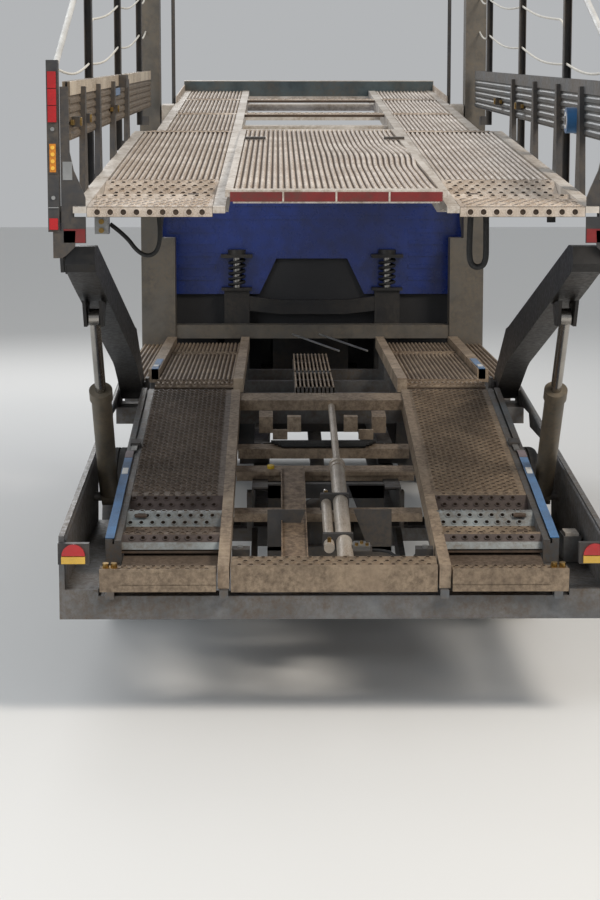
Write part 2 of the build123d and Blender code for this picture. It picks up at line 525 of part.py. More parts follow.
def lift_barrels():
    """Barrels of the two lift cylinders."""
    plane = cylinder_plane()
    eye = bar_y(CYL_FOOT_X, CYL_FOOT_Z, 48, (ARM_IN_Y + ARM_OUT_Y) / 2 - 40, (ARM_IN_Y + ARM_OUT_Y) / 2 + 40)
    barrel = plane * (Pos(0, 0, 40) * Cylinder(CYL_RADIUS, CYL_BARREL_LENGTH - 40, align=(Align.CENTER, Align.CENTER, Align.MIN)))
    gland = plane * (Pos(0, 0, CYL_BARREL_LENGTH - 60) * Cylinder(CYL_RADIUS + 8, 60, align=(Align.CENTER, Align.CENTER, Align.MIN)))
    bore = plane * (Pos(0, 0, 70) * Cylinder(CYL_ROD_RADIUS + RUN_FIT, CYL_BARREL_LENGTH, align=(Align.CENTER, Align.CENTER, Align.MIN)))
    pin = bar_y(CYL_FOOT_X, CYL_FOOT_Z, 25 + RUN_FIT, ARM_IN_Y, HALF_WIDTH)
    return both(eye + barrel + gland - bore - pin)


def lift_rods():
    """Rods of the two lift cylinders with their eyes."""
    plane = cylinder_plane()
    reach = hypot(CYL_EYE_X - CYL_FOOT_X, CYL_EYE_Z - CYL_FOOT_Z)
    tail = 480.0
    rod = plane * (Pos(0, 0, tail) * Cylinder(CYL_ROD_RADIUS, reach - tail, align=(Align.CENTER, Align.CENTER, Align.MIN)))
    mid = (ARM_IN_Y + ARM_OUT_Y) / 2
    eye = bar_y(CYL_EYE_X, CYL_EYE_Z, 42, mid - CYL_EYE_WIDTH / 2, mid + CYL_EYE_WIDTH / 2)
    return both(rod + eye)


def upper_rear_deck():
    """Rear part of the upper deck: tracks, ridged centre panel, edge rails and arm brackets."""
    u0, u1 = UPPER_TAIL_U, UPPER_JOIN_U
    rail_out = UPPER_RAIL_IN_Y + UPPER_RAIL_WIDTH
    shapes = []
    inner = box(u0, u1, UPPER_RAIL_IN_Y, rail_out, -UPPER_RAIL_DEPTH, 0)
    outer = box(u0, u1, UPPER_HALF_WIDTH - 60, UPPER_HALF_WIDTH, -UPPER_RAIL_DEPTH, 0)
    track = box(u0, u1, rail_out, UPPER_HALF_WIDTH - 60, -45, -15)
    shapes.append(both(inner + outer + track))
    shapes.append(box(u0 + 60, u1, -UPPER_RAIL_IN_Y, UPPER_RAIL_IN_Y, -40, -12))
    shapes.append(box(u0, u0 + 60, -UPPER_RAIL_IN_Y, UPPER_RAIL_IN_Y, -UPPER_RAIL_DEPTH, -12))
    for u in (-5200.0, -4000.0, -3000.0, -2420.0):
        shapes.append(box(u - 40, u + 40, -UPPER_HALF_WIDTH + 60, UPPER_HALF_WIDTH - 60, -UPPER_RAIL_DEPTH, -45))
    deck = upper_frame * join(shapes)
    # Brackets down to the heads of the lift arms
    y0, y1 = ARM_OUT_Y + MOVING_GAP, ARM_OUT_Y + MOVING_GAP + 16
    top = upper_z(ARM_HEAD_X)
    ear = slab([(ARM_HEAD_X - 190, top - 60), (ARM_HEAD_X - 50, ARM_HEAD_Z - 60), (ARM_HEAD_X + 50, ARM_HEAD_Z - 60),
                (ARM_HEAD_X + 190, top - 30)], y0, y1)
    ear = ear + box(ARM_HEAD_X - 160, ARM_HEAD_X + 160, UPPER_HALF_WIDTH - 60, y1, top - 65, top - 25)
    return deck + both(ear)


def over_cab_deck():
    """Front part of the upper deck, over the cab, with its pivot lugs between the columns."""
    u0, u1 = UPPER_JOIN_U, UPPER_FRONT_U
    rail_out = UPPER_RAIL_IN_Y + UPPER_RAIL_WIDTH
    shapes = []
    inner = box(u0, u1, UPPER_RAIL_IN_Y, rail_out, -UPPER_RAIL_DEPTH, 0)
    outer = box(u0, u1, OVER_CAB_HALF_WIDTH - 60, OVER_CAB_HALF_WIDTH, -UPPER_RAIL_DEPTH, 0)
    track = box(u0, u1, rail_out, OVER_CAB_HALF_WIDTH - 60, -45, -12)
    lug = box(-90, 90, OVER_CAB_HALF_WIDTH, COLUMN_IN_Y - 10, -UPPER_PIVOT_DROP - 70, -UPPER_PIVOT_DROP + 70)
    shapes.append(both(inner + outer + track + lug))
    for u in (u0 + 60, -1300.0, -90.0, 900.0, u1 - 60):
        shapes.append(box(u - 60, u + 60, -OVER_CAB_HALF_WIDTH + 60, OVER_CAB_HALF_WIDTH - 60, -UPPER_RAIL_DEPTH, -45))
    shapes.append(box(u1 - 60, u1, -OVER_CAB_HALF_WIDTH, OVER_CAB_HALF_WIDTH, -UPPER_RAIL_DEPTH, 80))
    deck = upper_frame * join(shapes)
    hole = bar_y(COLUMN_X, UPPER_PIVOT_Z, UPPER_PIN_RADIUS + RUN_FIT, OVER_CAB_HALF_WIDTH, COLUMN_IN_Y)
    return deck - both(hole)


def side_boards():
    """Ribbed aluminium boards along the sides of the upper deck, on fin brackets."""
    x0, x1 = -4300.0, 1850.0
    z0, z1 = 2690.0, 2960.0
    height = 262.0
    board = slab([(x0, z0), (x1, z1), (x1, z1 + height), (x0, z0 + height)], 1193, 1211)
    shapes = [board]
    for x in (-3750.0, -2900.0, -1900.0, -800.0):
        low = upper_z(x) - 50
        high = z0 + (x - x0) * (z1 - z0) / (x1 - x0) + height - 30
        shapes.append(slab([(x - 90, low), (x + 90, low), (x + 30, high), (x - 30, high)], UPPER_HALF_WIDTH, 1193))
    return both(join(shapes))


def railing_posts():
    """Upright posts of the upper deck's safety rail and the reflective tail posts."""
    shapes = []
    for x in (-3160.0, -1160.0):
        z = upper_z(x)
        shapes.append(both(box(x - 25, x + 25, 1211, 1246, z - 60, z + 1080)
                           + box(x - 40, x + 40, UPPER_HALF_WIDTH, 1211, z - 60, z - 20)))
    post = box(TAIL_X + 10, TAIL_X + 80, 1225, HALF_WIDTH, 2290, 3040)
    arm = box(TAIL_X + 10, TAIL_X + 80, UPPER_HALF_WIDTH, 1225, UPPER_TAIL_Z - 70, UPPER_TAIL_Z - 20)
    brace = bar_between((TAIL_X + 60, 1236, 3010), (-3160, 1236, upper_z(-3160) + 1040), 17)
    shapes.append(both(post + arm + brace))
    return join(shapes)


def cab_solid(inset):
    """The cab's outer form, or the form of its inside when inset by the wall."""
    rear, front = CAB_REAR_X + inset, FRONT_X - 35 - inset
    roof, sill = CAB_ROOF_Z - inset, CAB_SILL_Z - (0 if inset == 0 else 500)
    half = CAB_HALF_WIDTH - inset
    side = slab([(rear, sill), (rear, roof - 40), (rear + 60, roof), (front - 420, roof), (front - 200, roof - 110),
                 (front, WINDOW_LOW_Z - 80), (front, sill)], -1500, 1500)
    plan_path = Polyline((rear, -half), (front - 240, -half), (front - 60, -half + 120), (front, -half + 330),
                         (front, half - 330), (front - 60, half - 120), (front - 240, half), (rear, half), close=True)
    plan = extrude(make_face(plan_path), amount=4000)
    section = run([(-half, 0), (-half, WINDOW_LOW_Z), (-half + 110, roof - 90), (-half + 210, roof),
                   (half - 210, roof), (half - 110, roof - 90), (half, WINDOW_LOW_Z), (half, 0)], 0, 6000)
    return side & plan & section


def door_hinges():
    """Hinge knuckles on the left door and the lugs with their pins on the pillar."""
    axis_x, axis_y = DOOR_FRONT_X + DOOR_GAP / 2, CAB_HALF_WIDTH + HINGE_OFFSET
    knuckles, lugs = [], []
    for z in DOOR_HINGE_ZS:
        spot = Pos(axis_x, axis_y, z)
        barrel = spot * Cylinder(HINGE_OFFSET, 80) + box(axis_x - 55, axis_x, CAB_HALF_WIDTH, CAB_HALF_WIDTH + 9,
                                                         z - 40, z + 40)
        knuckles.append(barrel - spot * Cylinder(DOOR_PIN_RADIUS + RUN_FIT, 200))
        lug = box(axis_x, axis_x + 55, CAB_HALF_WIDTH, CAB_HALF_WIDTH + 9, z + 40.5, z + 70)
        lug = lug + Pos(axis_x, axis_y, z + 55.25) * Cylinder(HINGE_OFFSET, 29.5)
        lugs.append(lug + Pos(axis_x, axis_y, z + 10) * Cylinder(DOOR_PIN_RADIUS, 100))
    return join(knuckles), join(lugs)


def cab_panels():
    """The cab's hollow shell split where its panels meet. Returns a dict of nodes."""
    shell = cab_solid(0) - cab_solid(CAB_WALL)
    arch = bar_y(FRONT_AXLE_X, TYRE_RADIUS, ARCH_RADIUS, -1500, 1500)
    shell = shell - arch
    gap = DOOR_GAP
    door_box = box(DOOR_REAR_X, DOOR_FRONT_X, 700, 1400, DOOR_LOW_Z, DOOR_HIGH_Z)
    door_hole = box(DOOR_REAR_X - gap, DOOR_FRONT_X + gap, 700, 1400, DOOR_LOW_Z - gap, DOOR_HIGH_Z + gap)
    doors = shell & door_box
    body = shell - both(door_hole)
    window = slab([(DOOR_REAR_X + 110, WINDOW_LOW_Z), (DOOR_REAR_X + 110, DOOR_HIGH_Z - 90),
                   (DOOR_FRONT_X - 190, DOOR_HIGH_Z - 90), (DOOR_FRONT_X - 70, WINDOW_LOW_Z)], 700, 1500)
    glass = (doors & window) & (cab_solid(14) - cab_solid(20))
    doors = doors - window
    screen_zone = box(4000, 4600, -1010, 1010, WINDOW_LOW_Z + 20, CAB_ROOF_Z - 200)
    screen = (body & screen_zone) & (cab_solid(10) - cab_solid(18))
    body = body - screen_zone
    floor_low = CAB_FLOOR_Z - 60
    rear_cut = box(CAB_REAR_X - 10, CAB_REAR_X + CAB_WALL, -1500, 1500, 0, CAB_REAR_LOW_Z)
    body = body - rear_cut
    rear = body & box(CAB_REAR_X - 10, CAB_REAR_X + CAB_WALL, -1500, 1500, 0, 4000)
    tunnel_section = [(-TUNNEL_LOW_HALF, CAB_FLOOR_Z - 60), (-TUNNEL_LOW_HALF, CAB_REAR_LOW_Z),
                      (-TUNNEL_TOP_HALF, TUNNEL_TOP_Z), (TUNNEL_TOP_HALF, TUNNEL_TOP_Z),
                      (TUNNEL_LOW_HALF, CAB_REAR_LOW_Z), (TUNNEL_LOW_HALF, CAB_FLOOR_Z - 60)]
    rear = rear - run(tunnel_section, CAB_REAR_X - 10, CAB_REAR_X + CAB_WALL + 10)
    rest = body - box(CAB_REAR_X - 10, CAB_REAR_X + CAB_WALL, -1500, 1500, 0, 4000)
    roof_z = CAB_ROOF_Z - 120
    roof = rest & box(0, 6000, -1500, 1500, roof_z, 4000)
    rest = rest & box(0, 6000, -1500, 1500, 0, roof_z)
    front_x = 4130.0
    front = rest & box(front_x, 6000, -1500, 1500, 0, roof_z)
    sides = rest & box(0, front_x, -1500, 1500, 0, roof_z)
    floor = box(CAB_REAR_X + CAB_WALL, FRONT_X - 35 - 200, -CAB_HALF_WIDTH + CAB_WALL + 4, CAB_HALF_WIDTH - CAB_WALL - 4,
                floor_low, CAB_FLOOR_Z)
    inside = cab_solid(CAB_WALL + SEAT_GAP)
    riser = box(CAB_REAR_X + CAB_WALL, CAB_REAR_X + CAB_WALL + 40, -CAB_HALF_WIDTH, CAB_HALF_WIDTH,
                floor_low, CAB_REAR_LOW_Z + 60)
    tunnel = run(tunnel_section, CAB_REAR_X + CAB_WALL, DOOR_REAR_X - 300)
    grown = scale(tunnel, by=(1, 1.12, 1.03))
    floor = (floor + riser + (grown & box(0, 5000, -600, 600, floor_low, TUNNEL_TOP_Z + 40))) & inside
    knuckles, lugs = door_hinges()
    doors = doors + knuckles
    sides = sides + both(lugs)
    return {"door_left": doors, "door_glass_left": glass, "windscreen": screen, "cab_rear_wall": rear,
            "cab_roof": roof, "cab_front": front, "cab_quarters": sides, "cab_floor": floor}


def bumper():
    """Front bumper with the entry steps at its ends."""
    path = Polyline((3730, -1180), (4250, -1180), (4400, -1080), (FRONT_X, -860), (FRONT_X, 860),
                    (4400, 1080), (4250, 1180), (3730, 1180), (3730, 760), (4220, 700), (4300, -0.0 + 600),
                    (4300, -600), (4220, -700), (3730, -760), close=True)
    solid = extrude(make_face(path), amount=CAB_SILL_Z - 340 - 10)
    return Pos(0, 0, 340) * solid - headlamps()


def headlamps():
    """Headlamps on the bumper's face."""
    return both(box(FRONT_X - 60, FRONT_X - 4, 600, 850, 860, 1000))


def mirrors():
    """Mirror housings on arms at the windscreen pillars."""
    head = box(4030, 4120, 1215, 1395, 1850, 2300)
    arms = [box(4050, 4090, 1050, 1215, z - 15, z + 15) for z in (1920.0, 2220.0)]
    return both(join([head] + arms) - cab_solid(0))


def seats():
    """Driver's and passenger's seats."""
    base = box(2720, 3220, 420, 920, CAB_FLOOR_Z, CAB_FLOOR_Z + 420)
    back = slab([(2620, CAB_FLOOR_Z + 420), (2720, CAB_FLOOR_Z + 420), (2830, CAB_FLOOR_Z + 420), (2700, CAB_FLOOR_Z + 1080),
                 (2590, CAB_FLOOR_Z + 1080)], 420, 920)
    return both(base + back)


def dashboard():
    """Dashboard with the steering wheel."""
    board = slab([(3930, CAB_FLOOR_Z), (3800, 1650), (3860, 1760), (4180, 1740), (4180, CAB_FLOOR_Z)], -1000, 1000)
    return board


def ropes():
    """Sagging safety ropes between the tail posts, the upright posts and the columns."""
    solids = []
    radius = 6.0
    stops = (TAIL_X + 60, -3160.0, -1160.0)
    for z_up, sag in ((900.0, 60.0), (520.0, 45.0)):
        for xa, xb in zip(stops[1:-1], stops[2:]):
            za, zb = upper_z(xa) + z_up, upper_z(xb) + z_up
            points = []
            count = 5
            for i in range(count + 1):
                t = i / count
                x = xa + 20 + (xb - xa - 40) * t
                z = za + (zb - za) * t - 4 * sag * t * (1 - t)
                points.append((x, 1228.0, z))
            radii = []
            for i in range(1, count):
                a = Vector(*points[i]) - Vector(*points[i - 1])
                b = Vector(*points[i + 1]) - Vector(*points[i])
                turn = radians(a.get_angle(b))
                radii.append(0.45 * min(a.length, b.length) / tan(turn / 2))
            path = FilletPolyline(*points, radius=radii)
            solids.append(sweep(Plane(points[0], z_dir=path % 0) * Circle(radius), path=path))
    return both(join(solids)) - railing_posts()


def main():
    """Build and write every node."""
    nodes = {
        "chassis_frame": chassis_frame(),
        "cab_mounts": cab_mounts(),
        "driveline": driveline(),
        "side_tanks": side_tanks(),
        "front_axle": front_axle(),
        "knuckle_left": knuckle(),
        "rear_axle": rear_axle(),
        "body_frame": body_frame(),
        "front_deck": front_deck(),
        "portal": portal(),
        "tail_lamps": tail_lamps(),
        "lower_deck": lower_deck(),
        "tail_extension": tail_extension(),
        "lift_arms": lift_arms(),
        "lift_barrels": lift_barrels(),
        "lift_rods": lift_rods(),
        "upper_rear_deck": upper_rear_deck(),
        "over_cab_deck": over_cab_deck(),
        "side_boards": side_boards(),
        "railing_posts": railing_posts(),
        "safety_ropes": ropes(),
        "bumper": bumper(),
        "headlamps": headlamps(),
        "mirrors": mirrors(),
        "seats": seats(),
        "dashboard": dashboard(),
        "rim_front_left": front_wheel_rim(),
        "tyre_front_left": Pos(FRONT_AXLE_X, 0, TYRE_RADIUS) * tyre(FRONT_TYRE_Y),
        "rims_rear_left": rear_wheel_rims(),
        "tyres_rear_left": Pos(REAR_AXLE_X, 0, TYRE_RADIUS) * (tyre(REAR_TYRE_OUT_Y) + tyre(REAR_TYRE_OUT_Y - TWIN_PITCH)),
    }
    nodes.update(cab_panels())
    for name in list(nodes):
        if "left" in name:
            nodes[name.replace("left", "right")] = mirror(nodes[name], about=Plane.XZ)
    for name, shape in nodes.items():
        save(name, shape)


main()
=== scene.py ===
import itertools
import math

import bpy
import numpy as np
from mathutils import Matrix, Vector


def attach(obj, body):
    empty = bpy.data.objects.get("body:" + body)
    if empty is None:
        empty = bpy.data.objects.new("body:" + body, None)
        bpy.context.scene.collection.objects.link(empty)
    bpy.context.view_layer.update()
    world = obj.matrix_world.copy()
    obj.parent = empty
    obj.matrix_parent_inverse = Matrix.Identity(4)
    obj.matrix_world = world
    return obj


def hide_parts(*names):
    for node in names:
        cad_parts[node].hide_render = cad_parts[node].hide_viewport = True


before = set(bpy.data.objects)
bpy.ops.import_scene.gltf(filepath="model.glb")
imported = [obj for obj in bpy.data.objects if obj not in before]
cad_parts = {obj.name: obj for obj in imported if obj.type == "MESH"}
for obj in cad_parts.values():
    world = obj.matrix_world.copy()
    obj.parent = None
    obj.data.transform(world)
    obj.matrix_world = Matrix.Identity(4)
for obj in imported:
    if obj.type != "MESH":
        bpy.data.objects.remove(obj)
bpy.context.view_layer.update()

# Directions and sides. +X forward, +Y left, +Z up, in metres.
ALONG, ACROSS, UP = (1, 0, 0), (0, 1, 0), (0, 0, 1)
BOTH = ((1, "left"), (-1, "right"))

# Sizes of the solids
TAIL_X = -4.475
CHASSIS_TOP = 0.861
FRAME_RAIL = (0.316, 0.399)
TYRE_RADIUS = 0.475
FRONT_AXLE_X, REAR_AXLE_X = 3.1, -1.8
ARM_HEAD_X, ARM_HEAD_Z = -4.05, 2.15
ARM_FOOT_X, ARM_FOOT_Z = -0.7, 1.18

# Sloping deck: its hinge line and slope, then its levels and lines in its own axes
HINGE_X, HINGE_Z = -1.03, 1.15
LOWER_SLOPE = math.radians(8.26)
LOWER_TOP, LOWER_BASE = 0.07, -0.042
LOWER_START, LOWER_TAIL = -0.062, -3.277
CENTRE_RAIL, TRACK = (0.487, 0.54), (0.54, 1.01)
RAM_Y, RAM_W = -0.06, 0.02
LOCK_Y, LOCK_W = 0.013, 0.012

# Pull-out tail, in the sloping deck's axes
END_STRIP, END_PLATE = (-3.286, -3.21), -3.3
END_YS = (0.548, 1.085)
BEAM_FRONT, BEAM_STRIP = -3.11, -3.263
BEAM_HALF = 0.479

# Level front deck
FRONT_DECK, WALKWAY = (-0.99, 1.95), (-0.43, 1.95)
FRONT_BASE, FRONT_PLATE, FRONT_TOP = 1.18, 1.209, 1.265
FRONT_TRACK = (0.532, 1.014)

# Upper deck: its pivot, and how far its tail, joint and front lie from it
PIVOT_X, PIVOT_Z = 2.05, 2.973
TAIL_RUN, TAIL_FALL, JOIN_RUN, FRONT_RUN = 6.525, 0.573, 2.335, 1.9
UPPER_SLOPE = math.atan2(TAIL_FALL, TAIL_RUN)
TAIL_U = -TAIL_RUN / math.cos(UPPER_SLOPE)
JOIN_U = -JOIN_RUN / math.cos(UPPER_SLOPE)
FRONT_U = FRONT_RUN / math.cos(UPPER_SLOPE)
UPPER_DEPTH = 0.095
UPPER_TRACK = (0.547, 1.105)
OVER_CAB_STRIPS = ((-0.86, -0.78), (0.66, 0.76))
STRIP_LENGTH = 0.08

# Centre panel, which falls towards the front, and side boards, which rise a little
PANEL_LIFT, PANEL_DROP, PANEL_GAP = 0.075, 0.063, 0.012
PANEL_LENGTH = JOIN_U - TAIL_U - 0.018
PANEL_FALL = math.atan2(PANEL_DROP, PANEL_LENGTH)
PANEL_HALF = 0.4577
BOARD_X, BOARD_Z, BOARD_RUN, BOARD_RISE = -4.3, 2.69, 6.15, 0.27
BOARD_SLOPE = math.atan2(BOARD_RISE, BOARD_RUN)
BOARD_LENGTH = BOARD_RUN / math.cos(BOARD_SLOPE)

# Posts and ropes
POST_XS = (-2.85, -0.82, 1.2)
POST_DEPTH, POST_YS, POST_WALL = 0.05, (1.207, 1.247), 0.004
SLIM_POST_X = 2.6
ROPE_Y, ROPE_RADIUS, ROPE_SAG = 1.227, 0.006, 0.04
ROPE_ROWS = {"low": 0.545, "high": 0.79}
TAIL_ROPE_Z = 3.0

# Perforated sheet, ridged sheet and bent sheet
HOLE_PITCH, HOLE_RADIUS, LIP_RADIUS, LIP_HEIGHT, SHEET_DEPTH = 0.054, 0.0102, 0.015, 0.006, 0.012
CREST = 0.0012
WIDE_HOLES = {"hole": 0.0105, "lip": 0.0165}
FINE_HOLES = {"pitch": 0.045, "hole": 0.007, "lip": 0.012, "rise": 0.003}
FACE_HOLES = {"pitch": 0.058, "hole": 0.013, "lip": 0.018, "rise": 0.003, "depth": 0.002}
RIB_PITCH, RIB_HEIGHT = 0.0285, 0.011
EDGE = 0.002
# Dark material for rib gaps, hole walls and the sheets under holed skins: painted shade, with some dirt
SHADE_AND_DIRT = "gap_dirt"

# Bends of the two decks' tracks, as (along, up) points
LOWER_BENDS = [(LOWER_START, LOWER_TOP), (-2.2, LOWER_TOP), (-2.33, 0.008), (-2.445, LOWER_TOP),
               (-2.48, LOWER_TOP), (-2.56, 0.023), (-2.73, 0.023), (-2.79, LOWER_TOP),
               (-2.822, LOWER_TOP), (-2.9, 0.02)]
FIELD_END, TROUGH_START, TROUGH_LIP = (-2.15, LOWER_TOP), (-2.167, LOWER_TOP), (-2.862, 0.044)
UPPER_BENDS = [(TAIL_U + u, w) for u, w in ((1.15, 0.0), (1.09, 0.0), (0.87, -0.06), (0.7, -0.06),
                                            (0.56, -0.006), (0.42, -0.045), (0.3, 0.0), (0.012, 0.0))]
UPPER_ROWS = (2, 5, 4, 3, 3, 3, 5)

# Camera, fitted to the photograph's frame
CAMERA_PLACE = (-13.925, 0.26, 2.65)
CAMERA_PITCH, CAMERA_YAW = math.radians(8.04), math.radians(-0.6)
CAMERA_LENS, SENSOR_HEIGHT = 85.0, 36.0


def tilted(points, x, z, slope):
    """From axes that are tilted by slope about the point (x, z) to the axes of that point."""
    p = np.asarray(points, float).reshape(-1, 3)
    c, s = math.cos(slope), math.sin(slope)
    return np.stack([x + p[:, 0] * c - p[:, 2] * s, p[:, 1], z + p[:, 0] * s + p[:, 2] * c], 1)


def low(points):
    """From the sloping deck's own axes (along, across, up) to the truck's."""
    return tilted(points, HINGE_X, HINGE_Z, LOWER_SLOPE)


def high(points):
    """From the upper deck's own axes to the truck's."""
    return tilted(points, PIVOT_X, PIVOT_Z, UPPER_SLOPE)


def panel(points):
    """From the centre panel's own axes to the truck's."""
    return high(tilted(points, TAIL_U + PANEL_GAP, PANEL_LIFT, -PANEL_FALL))


def board(points):
    """From a side board's own axes to the truck's."""
    return tilted(points, BOARD_X, BOARD_Z, BOARD_SLOPE)


def flat(points):
    """The truck's own axes."""
    return np.asarray(points, float).reshape(-1, 3)


def upper_z(x):
    """Height of the upper deck's tracks at x."""
    return PIVOT_Z + (x - PIVOT_X) * math.tan(UPPER_SLOPE)


def span(side, ys):
    """A range across the truck on one side, in rising order."""
    return sorted(side * y for y in ys)


def wide(half):
    """A range across the middle."""
    return -half, half


def around(centre, size):
    """A range about a centre."""
    return centre - size / 2, centre + size / 2


def bands(rows, n, loop=False, seam=True):
    """Quads between rows of n points. A loop closes the rows, and a seam closes each row."""
    m = rows if loop else rows + 1
    return [(i * n + k, i * n + (k + 1) % n, (i + 1) % m * n + (k + 1) % n, (i + 1) % m * n + k)
            for i in range(rows) for k in range(n if seam else n - 1)]


def caps(rows, n):
    """The end faces of a body with that many bands."""
    return [tuple(range(n))[::-1], tuple(range(rows * n, (rows + 1) * n))]


def circle(count):
    """Even angles round a circle."""
    return [2 * math.pi * k / count for k in range(count)]


def ring(x, y, z, radius, count):
    """Even points round a line across the truck."""
    return [(x + radius * math.cos(a), y, z + radius * math.sin(a)) for a in circle(count)]


class Piece:
    """Collects vertices, and faces with their material's name, and becomes one Blender object."""

    def __init__(self, main, to=flat):
        self.main, self.to = main, to
        self.points, self.faces, self.paints = [], [], []
        self.count = 0

    def add(self, points, faces, paint=None):
        """Points, and faces that index them. paint is one material's name or a list with one per face."""
        points = self.to(points)
        self.points.append(points)
        self.faces += [tuple(i + self.count for i in face) for face in faces]
        self.paints += paint if isinstance(paint, list) else [paint or self.main] * len(faces)
        self.count += len(points)

    def box(self, xs, ys, zs, paint=None, side=1):
        """A box over three ranges, mirrored across the truck where side is -1."""
        points = [(x, y, z) for x in xs for y in span(side, ys) for z in zs]
        faces = [(0, 1, 3, 2), (4, 6, 7, 5), (0, 4, 5, 1), (2, 3, 7, 6), (0, 2, 6, 4), (1, 5, 7, 3)]
        self.add(points, faces, paint)

    def sheet(self, start, end, ys, paint=None):
        """One face between two (along, up) points."""
        (u0, w0), (u1, w1) = start, end
        self.add([(u0, ys[0], w0), (u1, ys[0], w1), (u1, ys[1], w1), (u0, ys[1], w0)], [(0, 1, 2, 3)], paint)

    def close(self, points, paint):
        """A closed body between two like outlines, given one after the other."""
        n = len(points) // 2
        self.add(points, bands(1, n) + caps(1, n), paint)

    def prism(self, outline, ys, paint=None, side=1):
        """An outline of (along, up) points, extruded across."""
        self.close([(x, y, z) for y in span(side, ys) for x, z in outline], paint)

    def along(self, outline, xs, paint=None, side=1):
        """An outline of (across, up) points, extruded along."""
        self.close([(x, side * y, z) for x in xs for y, z in outline], paint)

    def tube(self, path, radius, sides=12, paint=None):
        """A round tube along a list of points."""
        path = [Vector(p) for p in path]
        rings, normal = [], None
        for i, p in enumerate(path):
            ahead = path[min(i + 1, len(path) - 1)] - path[max(i - 1, 0)]
            ahead.normalize()
            if normal is None:
                normal = ahead.orthogonal().normalized()
            normal = (normal - ahead * normal.dot(ahead)).normalized()
            side = ahead.cross(normal)
            rings += [p + (normal * math.cos(a) + side * math.sin(a)) * radius for a in circle(sides)]
        rows = len(path) - 1
        self.add([tuple(v) for v in rings], bands(rows, sides) + caps(rows, sides), paint)

    def rod(self, us, y, w, radius, sides, paint=None):
        """A round bar along the truck."""
        self.tube([(us[0], y, w), (us[1], y, w)], radius, sides, paint)

    def disc(self, centre, axis, radius, length, sides=16, paint=None):
        """A short round bar, centred at a point."""
        c, a = Vector(centre), Vector(axis).normalized()
        self.tube([c - a * length / 2, c + a * length / 2], radius, sides, paint)

    def make(self, name, body, stands_for=None, sharp=35.0):
        """The Blender object, on its body, in place of a solid where stands_for names one."""
        mesh = bpy.data.meshes.new(name)
        mesh.from_pydata(np.concatenate(self.points).tolist(), [], self.faces)
        used = list(dict.fromkeys(self.paints))
        for paint in used:
            mesh.materials.append(LOOKS[paint])
        mesh.polygons.foreach_set("material_index", [used.index(paint) for paint in self.paints])
        mesh.polygons.foreach_set("use_smooth", [True] * len(self.faces))
        mesh.set_sharp_from_angle(angle=math.radians(sharp))
        mesh.update()
        return place(name, mesh, body, stands_for)


def place(name, data, body, stands_for=None):
    """An object of the scene that rides on a body of the truck."""
    obj = bpy.data.objects.new(name, data)
    bpy.context.scene.collection.objects.link(obj)
    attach(obj, body)
    if stands_for:
        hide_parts(stands_for)
    return obj


class Nodes:
    """A few short calls for building one material's node tree."""

    def __init__(self, name):
        self.material = bpy.data.materials.new(name)
        self.material.use_nodes = True
        self.tree = self.material.node_tree
        self.shader = self.tree.nodes["Principled BSDF"]
        self.place = self.tree.nodes.new("ShaderNodeTexCoord").outputs["Object"]

    def put(self, socket, value):
        """Links an output, or sets a colour, vector or number."""
        if isinstance(value, bpy.types.NodeSocket):
            self.tree.links.new(value, socket)
        elif isinstance(value, tuple) and len(socket.default_value) == 4:
            socket.default_value = (*value, 1.0)
        else:
            socket.default_value = value

    def add(self, kind, inputs, output=0, **settings):
        """One node with its settings and inputs. Returns an output."""
        node = self.tree.nodes.new("ShaderNode" + kind)
        for key, value in settings.items():
            setattr(node, key, value)
        for key, value in inputs.items():
            self.put(node.inputs[key], value)
        return node.outputs[output]

    def noise(self, scale, detail=4.0, rough=0.6, stretch=None):
        pattern = self.add("TexNoise", {"Scale": scale, "Detail": detail, "Roughness": rough})
        source = self.add("Mapping", {"Vector": self.place, "Scale": stretch}) if stretch else self.place
        self.put(pattern.node.inputs["Vector"], source)
        return pattern

    def spread(self, value, low_in, high_in, low_out=0.0, high_out=1.0):
        """A smooth step from one range to another."""
        return self.add("MapRange", {"Value": value, "From Min": low_in, "From Max": high_in,
                                     "To Min": low_out, "To Max": high_out}, interpolation_type="SMOOTHSTEP")

    def mix(self, fac, a, b):
        return self.add("Mix", {"Factor": fac, 6: a, 7: b}, 2, data_type="RGBA")

    def bump(self, height, strength, distance):
        normal = self.add("Bump", {"Strength": strength, "Distance": distance, "Height": height})
        self.put(self.shader.inputs["Normal"], normal)

    def finish(self, colour, rough, metallic=0.0, more=None):
        """The shader's main values, and any others by socket name."""
        self.put(self.shader.inputs["Base Color"], colour)
        self.put(self.shader.inputs["Roughness"], rough)
        self.shader.inputs["Metallic"].default_value = metallic
        for key, value in (more or {}).items():
            self.shader.inputs[key].default_value = value
        return self.material


def weathered(name, base, shade, dirt, dirt_share, rust_share, rough, metallic, grain=38.0, streaks=None):
    """Paint or zinc with two tones, dust in patches, streaks and a little rust."""
    n = Nodes(name)
    tone = n.spread(n.noise(6.0, 6.0, 0.65), 0.35, 0.68)
    colour = n.mix(tone, base, shade)
    fine = n.noise(grain, 5.0, 0.7, streaks)
    dust = n.spread(n.noise(3.1, 5.0, 0.62), 0.72 - dirt_share, 0.92 - dirt_share * 0.7)
    speck = n.add("Math", {0: dust, 1: n.spread(fine, 0.3, 0.72, 0.25, 1.0)}, operation="MULTIPLY")
    colour = n.mix(speck, colour, dirt)
    if rust_share:
        spots = n.spread(n.noise(21.0, 6.0, 0.75), 0.74 - rust_share, 0.8 - rust_share * 0.6)
        colour = n.mix(spots, colour, RUST)
    roughness = n.spread(fine, 0.25, 0.8, *rough)
    n.bump(fine, 0.25, 0.0015)
    return n.finish(colour, roughness, metallic)


